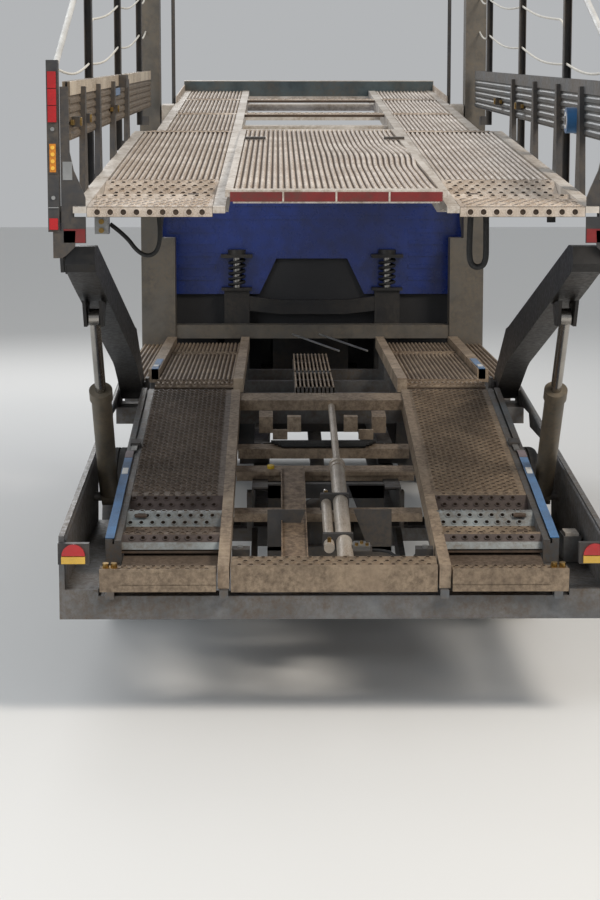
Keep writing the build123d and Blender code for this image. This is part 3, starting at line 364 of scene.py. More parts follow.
def plain(name, colour, rough, metallic, grain, shade, bump, more=None):
    """One colour with a soft change of tone and fine grain."""
    n = Nodes(name)
    tone = n.spread(n.noise(9.0, 5.0), 0.3, 0.7)
    fine = n.noise(grain, 4.0)
    n.bump(fine, bump, 0.001)
    mixed = n.mix(tone, colour, tuple(c * shade for c in colour))
    return n.finish(mixed, n.spread(fine, 0.3, 0.7, rough * 0.85, min(1.0, rough * 1.15)), metallic, more)


def glass(name, colour, rough):
    """Clear glass with a faint change of roughness."""
    n = Nodes(name)
    return n.finish(colour, n.spread(n.noise(40.0), 0.3, 0.7, rough, rough * 2), 0.0,
                    {"Transmission Weight": 0.85, "IOR": 1.45, "Alpha": 1.0})


RUST = (0.16, 0.055, 0.018)

# Base, shade and dirt colours, shares of dirt and rust, roughness range, metallic, any grain and streaks
WEATHERED = {
    "zinc_pale": ((0.7, 0.65, 0.59), (0.55, 0.51, 0.46), (0.3, 0.24, 0.18), 0.42, 0.02, (0.42, 0.7), 0.15),
    "zinc_tan": ((0.44, 0.34, 0.24), (0.3, 0.23, 0.165), (0.16, 0.115, 0.08), 0.5, 0.06, (0.5, 0.8), 0.15),
    "zinc_hi": ((0.58, 0.46, 0.34), (0.42, 0.33, 0.24), (0.2, 0.145, 0.1), 0.46, 0.05, (0.45, 0.75), 0.15),
    "zinc_grey": ((0.17, 0.175, 0.18), (0.1, 0.105, 0.11), (0.11, 0.085, 0.065), 0.45, 0.03,
                  (0.4, 0.7), 0.3),
    "rail_slate": ((0.12, 0.135, 0.15), (0.075, 0.085, 0.095), (0.13, 0.1, 0.075), 0.45, 0.03,
                   (0.35, 0.6), 0.35),
    "sheet_umber": ((0.21, 0.155, 0.115), (0.135, 0.1, 0.075), (0.075, 0.055, 0.04), 0.55, 0.05,
                    (0.45, 0.75), 0.2),
    "sheet_tan": ((0.38, 0.29, 0.2), (0.26, 0.195, 0.135), (0.13, 0.095, 0.065), 0.52, 0.05,
                  (0.45, 0.75), 0.2),
    "sheet_blue": ((0.36, 0.4, 0.41), (0.24, 0.265, 0.275), (0.15, 0.13, 0.11), 0.45, 0.02,
                   (0.35, 0.6), 0.35),
    "sheet_plum": ((0.115, 0.09, 0.085), (0.075, 0.06, 0.058), (0.055, 0.042, 0.035), 0.45, 0.04,
                   (0.4, 0.7), 0.2),
    "sheet_cream": ((0.74, 0.66, 0.58), (0.56, 0.49, 0.42), (0.3, 0.22, 0.155), 0.46, 0.03,
                    (0.45, 0.75), 0.1, 55.0, (0.5, 3.0, 3.0)),
    # Painted shade, with some dirt, for rib gaps, hole walls and the sheets seen through holes
    "gap_dirt": ((0.06, 0.04, 0.028), (0.034, 0.024, 0.018), (0.1, 0.065, 0.042), 0.4, 0.0,
                 (0.8, 0.95), 0.0),
    # The front beam's rear face: painted shade, darker than the beam's pale zinc
    "teal_beam": ((0.075, 0.105, 0.115), (0.04, 0.057, 0.063), (0.1, 0.09, 0.075), 0.35, 0.03,
                  (0.35, 0.6), 0.2),
    "red_paint": ((0.2, 0.012, 0.012), (0.13, 0.008, 0.009), (0.09, 0.03, 0.022), 0.35, 0.0,
                  (0.4, 0.65), 0.0),
    "dark_steel": ((0.042, 0.043, 0.046), (0.026, 0.027, 0.03), (0.085, 0.068, 0.052), 0.42, 0.03,
                   (0.42, 0.7), 0.1),
    "column_grey": ((0.1, 0.093, 0.082), (0.062, 0.058, 0.052), (0.14, 0.115, 0.085), 0.42, 0.03,
                    (0.4, 0.7), 0.15),
    "arm_black": ((0.014, 0.014, 0.015), (0.009, 0.009, 0.01), (0.036, 0.03, 0.024), 0.4, 0.03,
                  (0.36, 0.66), 0.1),
    "cylinder_olive": ((0.095, 0.085, 0.065), (0.055, 0.05, 0.04), (0.16, 0.125, 0.085), 0.5, 0.03,
                       (0.35, 0.65), 0.1),
    "barrel_pale": ((0.52, 0.46, 0.39), (0.38, 0.34, 0.29), (0.24, 0.18, 0.13), 0.4, 0.02,
                    (0.35, 0.6), 0.15, 50.0, (0.4, 5.0, 5.0)),
    "tray_tan": ((0.4, 0.29, 0.19), (0.27, 0.19, 0.125), (0.09, 0.06, 0.042), 0.6, 0.1,
                 (0.5, 0.8), 0.1, 22.0),
    # Side boards, one aluminium: left top and faces painted light, right faces painted shade
    "board_cream": ((0.74, 0.64, 0.5), (0.58, 0.5, 0.39), (0.34, 0.26, 0.18), 0.4, 0.0,
                    (0.35, 0.6), 0.25, 60.0, (0.2, 6.0, 6.0)),
    "board_brown": ((0.25, 0.19, 0.13), (0.17, 0.13, 0.09), (0.1, 0.075, 0.05), 0.5, 0.0,
                    (0.4, 0.7), 0.3, 60.0, (0.2, 6.0, 6.0)),
    "board_slate": ((0.085, 0.1, 0.11), (0.05, 0.058, 0.065), (0.07, 0.06, 0.05), 0.42, 0.0,
                    (0.35, 0.6), 0.4, 60.0, (0.2, 6.0, 6.0)),
    "tyre": ((0.024, 0.024, 0.025), (0.017, 0.017, 0.018), (0.075, 0.066, 0.056), 0.42, 0.0,
             (0.72, 0.92), 0.0),
    "rim_silver": ((0.5, 0.51, 0.52), (0.4, 0.41, 0.42), (0.2, 0.165, 0.135), 0.32, 0.02, (0.35, 0.6), 0.5),
    "brace_white": ((0.66, 0.66, 0.64), (0.52, 0.52, 0.51), (0.3, 0.27, 0.23), 0.35, 0.02, (0.4, 0.7), 0.1),
}

# Colour, roughness, metallic, grain, share of the darker tone, bump, then other values by socket name
PLAIN = {
    "rod_bright": ((0.42, 0.4, 0.37), 0.24, 1.0, 90.0, 0.75, 0.03),
    "cab_blue": ((0.003, 0.024, 0.185), 0.3, 0.0, 30.0, 0.66, 0.02,
                 {"Coat Weight": 0.6, "Coat Roughness": 0.12}),
    "black_plastic": ((0.016, 0.016, 0.018), 0.55, 0.0, 120.0, 0.8, 0.25),
    "grey_plastic": ((0.055, 0.057, 0.06), 0.5, 0.0, 120.0, 0.8, 0.2),
    "red_mirror": ((0.42, 0.008, 0.01), 0.22, 0.0, 420.0, 0.75, 0.25, {"Coat Weight": 0.5}),
    "amber": ((0.62, 0.22, 0.015), 0.2, 0.0, 200.0, 0.85, 0.05, {"Coat Weight": 0.5}),
    "amber_bright": ((0.9, 0.5, 0.06), 0.15, 0.0, 300.0, 0.85, 0.1, {"Coat Weight": 0.6}),
    "yellow_lens": ((0.62, 0.38, 0.05), 0.25, 0.0, 200.0, 0.8, 0.15, {"Coat Weight": 0.4}),
    "white_rope": ((0.74, 0.72, 0.66), 0.8, 0.0, 300.0, 0.8, 0.4),
    "strap_blue": ((0.02, 0.13, 0.32), 0.75, 0.0, 500.0, 0.55, 0.5, {"Sheen Weight": 0.3}),
    "strap_faded": ((0.13, 0.085, 0.095), 0.8, 0.0, 500.0, 0.6, 0.5, {"Sheen Weight": 0.3}),
    "label_white": ((0.7, 0.7, 0.68), 0.5, 0.0, 80.0, 0.9, 0.05),
    "rubber": ((0.014, 0.014, 0.014), 0.62, 0.0, 90.0, 0.7, 0.3),
    "seat_cloth": ((0.05, 0.055, 0.07), 0.9, 0.0, 700.0, 0.8, 0.5, {"Sheen Weight": 0.4}),
    "brass": ((0.42, 0.27, 0.09), 0.38, 1.0, 90.0, 0.7, 0.15),
    "silver": ((0.46, 0.46, 0.45), 0.35, 0.8, 90.0, 0.75, 0.1),
    "yellow_cap": ((0.75, 0.5, 0.03), 0.45, 0.0, 90.0, 0.85, 0.1),
    "hose_red": ((0.3, 0.02, 0.015), 0.5, 0.0, 90.0, 0.8, 0.1),
}

LOOKS = {name: weathered(name, *values) for name, values in WEATHERED.items()}
LOOKS.update({name: plain(name, *values) for name, values in PLAIN.items()})
LOOKS["glass"] = glass("glass", (0.55, 0.62, 0.62), 0.03)
LOOKS["lamp_glass"] = glass("lamp_glass", (0.9, 0.92, 0.95), 0.05)

# Corners and edge points round one hole's cell, as shares of half its size across and along
CELL_EDGE = [(1, 0), (1, 1), (1 / 3, 1), (0, 1), (-1 / 3, 1), (-1, 1),
             (-1, 0), (-1, -1), (-1 / 3, -1), (0, -1), (1 / 3, -1), (1, -1)]


def hole_cell(step, pitch, hole, lip, rise, depth):
    """Points of one lipped hole in its cell, as (along, across, up)."""
    cell = [(a * step / 2, b * pitch / 2, 0.0) for b, a in CELL_EDGE]
    for radius, lift in ((lip, 0.0), ((lip + hole) / 2 + CREST, rise), (hole, rise), (hole, -depth)):
        for b, a in CELL_EDGE:
            angle = math.atan2(a * step, b * pitch)
            cell.append((radius * math.sin(angle), radius * math.cos(angle), lift))
    return np.array(cell)


def perforate(piece, start, end, ys, rows, pitch=HOLE_PITCH, hole=HOLE_RADIUS, lip=LIP_RADIUS,
              rise=LIP_HEIGHT, depth=SHEET_DEPTH, shift=0, paint=None):
    """Sheet between two (along, up) points, with rows of lipped holes, each row half a pitch off."""
    (u0, w0), (u1, w1) = start, end
    length = math.hypot(u1 - u0, w1 - w0)
    step = length / rows
    along = np.array([(u1 - u0) / length, 0.0, (w1 - w0) / length])
    normal = np.array([-along[2], 0.0, along[0]]) * math.copysign(1, along[0])
    cell = hole_cell(step, pitch, hole, lip, rise, depth)
    n = len(CELL_EDGE)
    # The last band of each hole, its wall, gets the dark gap material: painted shade, with some dirt
    paints = [paint or piece.main] * (3 * n) + [SHADE_AND_DIRT] * n
    y0, y1 = ys
    for row in range(rows):
        odd = (row + shift) % 2
        columns = int((y1 - y0 - (pitch / 2 if odd else 0.0)) / pitch)
        first = (y0 + y1) / 2 - columns * pitch / 2
        if odd and int((y1 - y0) / pitch) == columns:
            first += pitch / 2
        mid = (row + 0.5) * step
        for column in range(columns):
            centre = np.array([u0, first + (column + 0.5) * pitch, w0])
            points = (centre + np.outer(cell[:, 0] + mid, along) + np.outer(cell[:, 1], ACROSS)
                      + np.outer(cell[:, 2], normal))
            piece.add(points, bands(4, n), paints)
        ends = [(u0 + along[0] * t, w0 + along[2] * t) for t in (mid - step / 2, mid + step / 2)]
        for strip in ((y0, first), (first + columns * pitch, y1)):
            if strip[1] - strip[0] > 1e-5:
                piece.sheet(*ends, strip, paint)


def ribs(piece, us, ys, w, pitch=RIB_PITCH, height=RIB_HEIGHT, bend=None, steps=1):
    """Rounded ridges along a deck, with gaps painted dark as shade and dirt. bend shifts them sideways."""
    count = int(round((ys[1] - ys[0]) / pitch))
    pitch = (ys[1] - ys[0]) / count
    arc = [(-0.34, 0.0), (-0.27, 0.62), (-0.12, 0.95), (0.12, 0.95), (0.27, 0.62), (0.34, 0.0)]
    n = len(arc) + 2
    faces = bands(steps, n, seam=False)
    # The flat gaps at both sides of each ridge: painted shade, with some dirt
    paints = ([SHADE_AND_DIRT] + [piece.main] * (n - 3) + [SHADE_AND_DIRT]) * steps
    stations = np.linspace(*us, steps + 1)
    for i in range(count):
        y = ys[0] + (i + 0.5) * pitch
        ridge = [(y + a * pitch, w + b * height) for a, b in arc]
        outline = [(y - pitch / 2, w)] + ridge + [(y + pitch / 2, w)]
        sways = [bend(u, y) if bend else 0.0 for u in stations]
        piece.add([(u, a + sway, b) for u, sway in zip(stations, sways) for a, b in outline], faces, paints)
        for end, line in ((0, ridge), (-1, ridge[::-1])):
            piece.add([(stations[end], a + sways[end], b) for a, b in line], [tuple(range(len(ridge)))])


def bent_sheet(piece, profile, ys, drop=0.013, thick=0.006, paint=None, side=1):
    """A bent sheet between two depths below a profile of (along, up) points."""
    top = [(u, w - drop) for u, w in profile]
    piece.prism(top + [(u, w - thick) for u, w in top[::-1]], ys, paint, side)


def strap(piece, line, ys, paint=None):
    """A flat strap along (along, up) points."""
    bent_sheet(piece, line, ys, 0.0, 0.0026, paint)


def holed_strip(piece, us, ys, w, rows, pitch=HOLE_PITCH, paint=None):
    """A perforated strip 4 mm over a flat plate, with closed edges, on a dark underlay of painted shade and
    dirt.
    """
    (u0, u1), (y0, y1), base = us, ys, w - 0.004
    # Underlay seen through the holes: painted shade, with some dirt
    piece.box((u0 + 0.001, u1 - 0.001), (y0 + 0.001, y1 - 0.001), (base, base + 0.0012), SHADE_AND_DIRT)
    perforate(piece, (u0, w), (u1, w), ys, rows, pitch, depth=0.003, paint=paint)
    for long, across in (((u0, u0 + EDGE), ys), ((u1 - EDGE, u1), ys), (us, (y0, y0 + EDGE)),
                         (us, (y1 - EDGE, y1))):
        piece.box(long, across, (base, w - 0.0002), paint)


def lower_deck():
    """The sloping deck: perforated tracks with wheel troughs, rails, cross-beams and the tail's rod."""
    deck = Piece("zinc_tan", low)
    for side, _ in BOTH:
        deck.box((LOWER_TAIL, LOWER_START), CENTRE_RAIL, (LOWER_BASE, LOWER_TOP), side=side)
        for ys, top in (((1.01, 1.042), 0.074), ((1.042, 1.052), 0.056), ((1.052, 1.085), 0.08)):
            deck.box((-2.925, LOWER_START), ys, (LOWER_BASE, top), "rail_slate", side)
        deck.disc((0, side * 0.77, 0), ACROSS, 0.045, 0.42, 24, "rail_slate")
        deck.box((-0.066, 0.0), (0.56, 0.98), (-0.035, 0.04), "rail_slate", side)
        # Dark bent sheet under the tracks, seen through the holes: painted shade, with some dirt
        bent_sheet(deck, LOWER_BENDS, (0.539, 1.011), paint=SHADE_AND_DIRT, side=side)
    for us, ws in (((-0.272, -0.1), (-0.005, 0.057)), ((-0.95, -0.85), (-0.105, -0.047)),
                   ((-1.38, -1.28), (-0.105, -0.047)), ((-2.1, -2.0), (-0.105, -0.06))):
        deck.box(us, wide(CENTRE_RAIL[0]), ws)
    deck.box((-1.396, -1.384), wide(CENTRE_RAIL[1]), (-0.07, -0.049))
    deck.make("lower_deck_frame", "lower_deck", "lower_deck")
    rod = Piece("barrel_pale", low)
    rod.rod((-2.0, -0.272), RAM_Y, RAM_W, 0.02, 20)
    rod.make("extension_rod", "lower_deck")
    for side, name in BOTH:
        ys = span(side, TRACK)
        # One sheet in two tones: painted shade on the left track's darker umber, painted light on the
        # right's tan
        base = "sheet_umber" if side > 0 else "sheet_tan"
        field = Piece(base, low)
        perforate(field, FIELD_END, (-0.07, LOWER_TOP), ys, 69)
        field.sheet(FIELD_END, TROUGH_START, ys)
        field.make(f"lower_field_{name}", "lower_deck")
        wheel_trough(base, side, name)


def wheel_trough(base, side, name):
    """The bends of one lower track, with wide holes, a finer plate at the bottom and two pads."""
    ys = span(side, TRACK)
    # base is the side's tone: painted shade on the left, painted light on the right
    trough = Piece(base, low)
    bends = LOWER_BENDS[1:]
    runs = list(zip([TROUGH_START] + bends, bends[:-1] + [TROUGH_LIP]))
    plate = runs.pop(5)
    blue, plum = "sheet_blue", "sheet_plum"
    rows = ((1, base, 0), (3, plum, 1), (2, plum, 0), (1, blue, 1), (2, blue, 0), (1, plum, 0), (1, base, 1),
            (1, plum, 0))
    for (start, end), (count, paint, shift) in zip(runs, rows):
        perforate(trough, start, end, ys, count, shift=shift, paint=paint, **WIDE_HOLES)
    perforate(trough, *plate, ys, 5, **FINE_HOLES)
    trough.sheet(TROUGH_LIP, LOWER_BENDS[-1], ys, blue)
    for u, w, length, width in ((-2.505, 0.064, 0.05, 0.06), (-2.665, 0.029, 0.055, 0.05)):
        trough.box(around(u, length), around(0.94, width), around(w, 0.008), SHADE_AND_DIRT, side)
    trough.make(f"lower_trough_{name}", "lower_deck")


def tail_extension():
    """The pull-out tail: slide plates, runners, end strips, beam and tray."""
    tail = Piece("sheet_umber", low)
    tan = "sheet_tan"
    for side, _ in BOTH:
        tail.box((END_PLATE, -2.64), (0.548, 1.002), (-0.02, -0.014), side=side)
        tail.box((END_PLATE, END_STRIP[1]), END_YS, (-0.05, 0.043), tan, side)
        tail.box((END_PLATE, END_STRIP[0]), END_YS, (0.043, 0.06), tan, side)
        holed_strip(tail, END_STRIP, span(side, END_YS), 0.0475, 2, 0.045, tan)
        for ys in ((0.492, 0.532), (1.02, 1.06)):
            tail.box((END_PLATE, -2.2), ys, (-0.086, -0.044), "rail_slate", side)
    tail.box((LOWER_TAIL, BEAM_FRONT), wide(BEAM_HALF), (-0.06, 0.053), tan)
    tail.box((LOWER_TAIL, BEAM_STRIP), wide(BEAM_HALF), (0.053, 0.07), tan)
    holed_strip(tail, (BEAM_STRIP, BEAM_FRONT), wide(BEAM_HALF), 0.0575, 3, 0.055, tan)
    tray = (BEAM_FRONT, -1.384)
    tail.box(tray, (0.115, 0.244), (-0.041, -0.031), "tray_tan")
    for y in (0.115, 0.238):
        tail.box(tray, (y, y + 0.006), (-0.031, -0.018), "tray_tan")
    tail.make("tail_extension_frame", "tail_extension", "tail_extension")


def tail_ram():
    """The ram's barrel, the lock cylinder with its clamps and valve, and the fittings at the end strips."""
    ram = Piece("barrel_pale", low)
    for us, radius in (((BEAM_FRONT, -1.49), 0.039), ((-1.535, -1.49), 0.044), ((BEAM_FRONT, -3.07), 0.043),
                       ((-1.6, -1.58), 0.042)):
        ram.rod(us, RAM_Y, RAM_W, radius, 28)
    ram.rod((-2.86, -2.06), LOCK_Y, LOCK_W, 0.026, 20)
    ram.rod((-2.06, -1.94), LOCK_Y, LOCK_W, 0.012, 16, "rod_bright")
    for u in (-2.78, -2.14):
        ram.box(around(u, 0.03), (-0.104, 0.044), (-0.024, 0.062), "dark_steel")
    for u in (-2.84, -2.085):
        ram.disc((u, LOCK_Y, 0.045), UP, 0.01, 0.03, 12, "brass")
    ram.box((-2.96, -2.87), (-0.189, -0.087), (-0.015, 0.03), "dark_steel")
    ram.box((-2.945, -2.885), (-0.18, -0.096), (0.03, 0.05), "silver")
    for u, y in ((-2.93, -0.165), (-2.93, -0.115), (-2.9, -0.14)):
        ram.disc((u, y, 0.055), UP, 0.009, 0.014, 12, "brass")
    for side, _ in BOTH:
        ram.box((-2.99, -2.935), (0.395, BEAM_HALF), (-0.03, 0.05), "dark_steel", side)
        ram.disc((-2.96, side * 0.44, 0.054), UP, 0.014, 0.01, 14, "silver")
        for y in (1.02, 1.058):
            ram.disc((-3.25, side * y, 0.062), UP, 0.015, 0.026, 14, "brass")
        ram.box((-3.272, -3.228), (1.005, 1.075), (0.048, 0.056), "brass", side)
    ram.make("extension_barrel", "tail_extension")


def front_deck():
    """The level front deck: ridged tracks with cross strips, rails and ridged walkways."""
    strips = ((FRONT_DECK[0], -0.914), (-0.758, -0.682), (1.092, 1.168))
    fields = ((-0.914, -0.758), (-0.682, 1.092), (1.168, 1.948))
    rail = (FRONT_BASE, FRONT_TOP)
    for side, name in BOTH:
        deck = Piece("zinc_tan")
        ys = span(side, FRONT_TRACK)
        # Dark plate under the ridges, seen in the gaps: painted shade, with some dirt
        deck.box(FRONT_DECK, ys, (FRONT_BASE, FRONT_PLATE), SHADE_AND_DIRT)
        for xs in fields:
            ribs(deck, xs, ys, FRONT_PLATE + 0.0005, 0.029, 0.0115)
        for x0, x1 in strips:
            deck.box((x0, x1), ys, (FRONT_PLATE, 1.213))
            holed_strip(deck, (x0, x1 - 0.004), ys, 1.2175, 2, 0.048)
            deck.box((x1 - 0.004, x1), ys, (FRONT_PLATE, 1.227))
        deck.box(FRONT_DECK, (0.472, FRONT_TRACK[0]), rail, "zinc_hi", side)
        deck.box(WALKWAY, (FRONT_TRACK[1], 1.085), rail, side=side)
        ys = span(side, (1.085, 1.265))
        # Dark plate under the walkway's ridges: painted shade, with some dirt
        deck.box(WALKWAY, ys, (FRONT_BASE, 1.2005), SHADE_AND_DIRT)
        ribs(deck, WALKWAY, ys, 1.201, 0.029)
        deck.make(f"front_deck_{name}", "root", "front_deck" if side > 0 else None)


def upper_rear_deck():
    """Rear part of the upper deck: rails, bent sheets, cross-beams and the brackets over the arm heads."""
    deck = Piece("zinc_pale", high)
    rail = [(TAIL_U + 0.004, 0.0), (TAIL_U + 0.004, -0.028), (TAIL_U + 0.24, -0.036),
            (TAIL_U + 0.62, -UPPER_DEPTH), (JOIN_U, -UPPER_DEPTH), (JOIN_U, 0.0)]
    top = upper_z(ARM_HEAD_X)
    ear = [(-4.24, top - 0.06), (-4.1, 2.09), (-4.0, 2.09), (-3.86, top - 0.03)]
    for side, name in BOTH:
        for ys in ((0.492, UPPER_TRACK[0]), (UPPER_TRACK[1], 1.165)):
            deck.prism(rail, ys, side=side)
        deck.box((TAIL_U + 0.3, JOIN_U), (1.163, 1.179), (-0.024, -0.012), side=side)
        # Dark sheets and strips under the skins, seen through holes and gaps: painted shade, with some dirt
        bent_sheet(deck, UPPER_BENDS, UPPER_TRACK, paint=SHADE_AND_DIRT, side=side)
        for us, ws in (((TAIL_U + 1.15, JOIN_U - STRIP_LENGTH), (-0.02, -0.012)),
                       ((JOIN_U - STRIP_LENGTH, JOIN_U), (-0.02, -0.013)),
                       ((TAIL_U + 0.007, TAIL_U + 0.012), (-0.046, -0.002))):
            deck.box(us, UPPER_TRACK, ws, SHADE_AND_DIRT, side)
        ears = Piece("arm_black")
        ears.prism(ear, (1.244, 1.26), side=side)
        ears.box((-4.21, -3.89), (1.105, 1.26), (top - 0.065, top - 0.04), side=side)
        ears.make(f"arm_bracket_{name}", "upper_deck")
    for u in (-5.2, -4.0, -3.0, -2.42):
        deck.box(around(u, 0.08), wide(UPPER_TRACK[1]), (-UPPER_DEPTH, -0.082), "zinc_grey")
    deck.make("upper_deck_frame", "upper_deck", "upper_rear_deck")


def upper_tracks():
    """Skins of the upper deck's rear tracks: ridges, bends with wide holes, and the holed end face."""
    face = TAIL_U + 0.0045
    for side, name in BOTH:
        ys = span(side, (0.549, 1.103))
        skin = Piece("sheet_cream", high)
        ribs(skin, (TAIL_U + 1.15, JOIN_U - STRIP_LENGTH), ys, -0.011)
        shift = 0
        for start, end, rows in zip(UPPER_BENDS, UPPER_BENDS[1:], UPPER_ROWS):
            perforate(skin, start, end, ys, rows, shift=shift, **WIDE_HOLES)
            shift += rows
        perforate(skin, (JOIN_U - STRIP_LENGTH, 0.0), (JOIN_U, 0.0), ys, 2, **WIDE_HOLES)
        perforate(skin, (face, -0.044), (face, -0.002), ys, 1, **FACE_HOLES)
        skin.box((TAIL_U + 0.56, TAIL_U + 0.61), (0.63, 0.68), (-0.02, -0.005), SHADE_AND_DIRT, side)
        skin.make(f"upper_track_{name}", "upper_deck")


def centre_panel():
    """Ridged centre panel of the upper deck, bent by wear, with its pale rim and red rear face."""
    def sway(x, y):
        """Sideways bend of the ridges to the right of the middle."""
        share = max(0.0, 0.08 - y) / 0.55
        wave = math.sin(x * 2.2) * 0.018 + math.sin(x * 4.7 + 1.0) * 0.007
        return wave * share * math.sin(math.pi * min(1.0, max(0.0, x / PANEL_LENGTH))) ** 0.5

    whole, middle = (0.0, PANEL_LENGTH), wide(PANEL_HALF)
    start, end = 0.056, PANEL_LENGTH - 0.032
    red = (-0.052, -0.01)
    cover = Piece("sheet_cream", panel)
    ribs(cover, (start, end), middle, -0.011, bend=sway, steps=40)
    # Dark sheet under the ridges, seen in the gaps: painted shade, with some dirt
    cover.box(whole, middle, (-0.018, -0.0115), SHADE_AND_DIRT)
    for side, _ in BOTH:
        cover.box(whole, (PANEL_HALF, 0.4915), (-0.032, 0.0), "zinc_pale", side)
    for xs in ((0.0, start), (end, PANEL_LENGTH)):
        cover.box(xs, middle, (-0.06, 0.0), "zinc_pale")
    cover.box((-0.003, 0.0), wide(0.47), red, "red_paint")
    for y in (-0.235, 0.0, 0.235):
        cover.box((-0.005, -0.003), around(y, 0.008), red, "zinc_pale")
    for y in (0.39, -0.43):
        cover.box((3.24, 3.29), around(y, 0.12), (0.001, 0.014), "dark_steel")
    cover.make("centre_panel", "upper_deck")


def over_cab_tracks():
    """Skins over the cab: ridged fields between perforated cross strips, and the front beam's face in
    painted shade.
    """
    (u0, u1), (u2, u3) = OVER_CAB_STRIPS
    fields = ((JOIN_U + 0.02, u0), (u1, u2), (u3, FRONT_U - 0.08))
    for side, name in BOTH:
        ys = span(side, (0.549, 0.968))
        skin = Piece("sheet_cream", high)
        for us in fields:
            ribs(skin, us, ys, -0.0115)
        for us in OVER_CAB_STRIPS:
            holed_strip(skin, us, ys, 0.0015, 2)
        skin.box((FRONT_U - 1.56, FRONT_U - 0.062), (1.0225, 1.0295), (0.0, 0.048), side=side)
        skin.make(f"over_cab_track_{name}", "upper_deck")
    beam = Piece("sheet_cream", high)
    middle = wide(0.492)
    for us in OVER_CAB_STRIPS:
        # Dark underlay under the strips: painted shade, with some dirt
        beam.box(us, middle, (-0.02, -0.003), SHADE_AND_DIRT)
        holed_strip(beam, us, middle, 0.0015, 2)
    face = FRONT_U - 0.06
    # Dark bluish plate on the beam's face toward the tail: painted shade
    beam.box((face - 0.003, face), wide(1.028), (-0.092, 0.076), "teal_beam")
    beam.make("over_cab_strips", "upper_deck")


def side_boards():
    """Corrugated skins of the side boards, on both faces, painted lit on the left board and in shade on the
    right.
    """
    pitch, rise = 0.0382, 0.007
    whole = (0.0, BOARD_LENGTH)
    for side, name in BOTH:
        # Lit and shaded copies of one aluminium: painted light on the left board, painted shade on the right
        # Tops paler than faces, as painted light from above; on the right board rail_slate is the shaded top
        tone, top = ("board_brown", "board_cream") if side > 0 else ("board_slate", "rail_slate")
        skin = Piece(tone, board)
        for face, out in ((1.1925, -1), (1.2115, 1)):
            crest, back = face + out * rise, face - out * 0.004
            outline = [(face, 0.0)]
            for z in (i * pitch for i in range(5)):
                outline += [(face, z + 0.004), (crest, z + 0.011), (crest, z + 0.028), (face, z + 0.035)]
            outline += [(face, 0.194), (crest, 0.199), (crest, 0.262), (back, 0.262), (back, 0.0)]
            skin.along(outline, whole, side=side)
            skin.box(whole, (crest, crest + out * 0.0012), (0.2, 0.2625), top, side)
        skin.make(f"side_board_skin_{name}", "upper_deck", sharp=20.0)
        board_gear(side, name)


def board_gear(side, name):
    """Clamps on a side board, with a stowed strap on the left one and a coiled strap on the right one."""
    gear = Piece("dark_steel", board)
    for s in (0.1, 0.62, 2.4) if side > 0 else (3.1, 4.32):
        gear.box(around(s, 0.09), (1.15, 1.184), (0.06, 0.105), side=side)
        gear.disc((s, side * 1.15, 0.082), ACROSS, 0.02, 0.016, 14, "brass")
        gear.box((s - 0.11, s - 0.045), (1.17, 1.184), (0.07, 0.092), "brass", side)
    if side > 0:
        gear.box((2.95, 3.12), (1.14, 1.184), (0.19, 0.262), side=side)
        gear.box((2.6, 2.95), (1.176, 1.184), (0.15, 0.19), "strap_blue", side)
    else:
        for radius, width, paint in ((0.062, 0.05, "strap_blue"), (0.04, 0.054, "label_white"),
                                     (0.022, 0.058, "dark_steel")):
            gear.disc((0.7, side * 1.15, 0.07), ACROSS, radius, width, 28, paint)
    gear.make(f"board_gear_{name}", "upper_deck")


def railing():
    """Upright posts with their feet, the slim posts over the cab, the tail posts and their braces."""
    for side, name in BOTH:
        rail = Piece("dark_steel")
        inner, outer = POST_YS
        for x in POST_XS:
            zs = (upper_z(x) - 0.075, upper_z(x) + 1.045)
            web, front = x + POST_DEPTH / 2 - 0.006, x + POST_DEPTH / 2
            rail.box((web, front), POST_YS, zs, side=side)
            for ys in ((inner, inner + POST_WALL), (outer - POST_WALL, outer)):
                rail.box((x - POST_DEPTH / 2, web), ys, zs, side=side)
            rail.box(around(x, 0.08), (1.165, inner), (zs[0], zs[0] + 0.06), side=side)
        x, z = SLIM_POST_X, upper_z(SLIM_POST_X)
        rail.box(around(x, 0.06), (1.03, 1.041), (z - 0.07, z - 0.01), side=side)
        rail.disc((x, side * 1.055, z + 0.38), UP, 0.014, 0.9, 16)
        tail_post(rail, side)
        rail.make(f"railing_{name}", "upper_deck", "railing_posts" if side > 0 else None)
        brace = Piece("brace_white")
        first = POST_XS[0]
        brace.tube([(-4.415, side * 1.241, 3.01), (first, side * 1.26, upper_z(first) + 1.0)], 0.015, 14)
        brace.make(f"brace_{name}", "upper_deck")


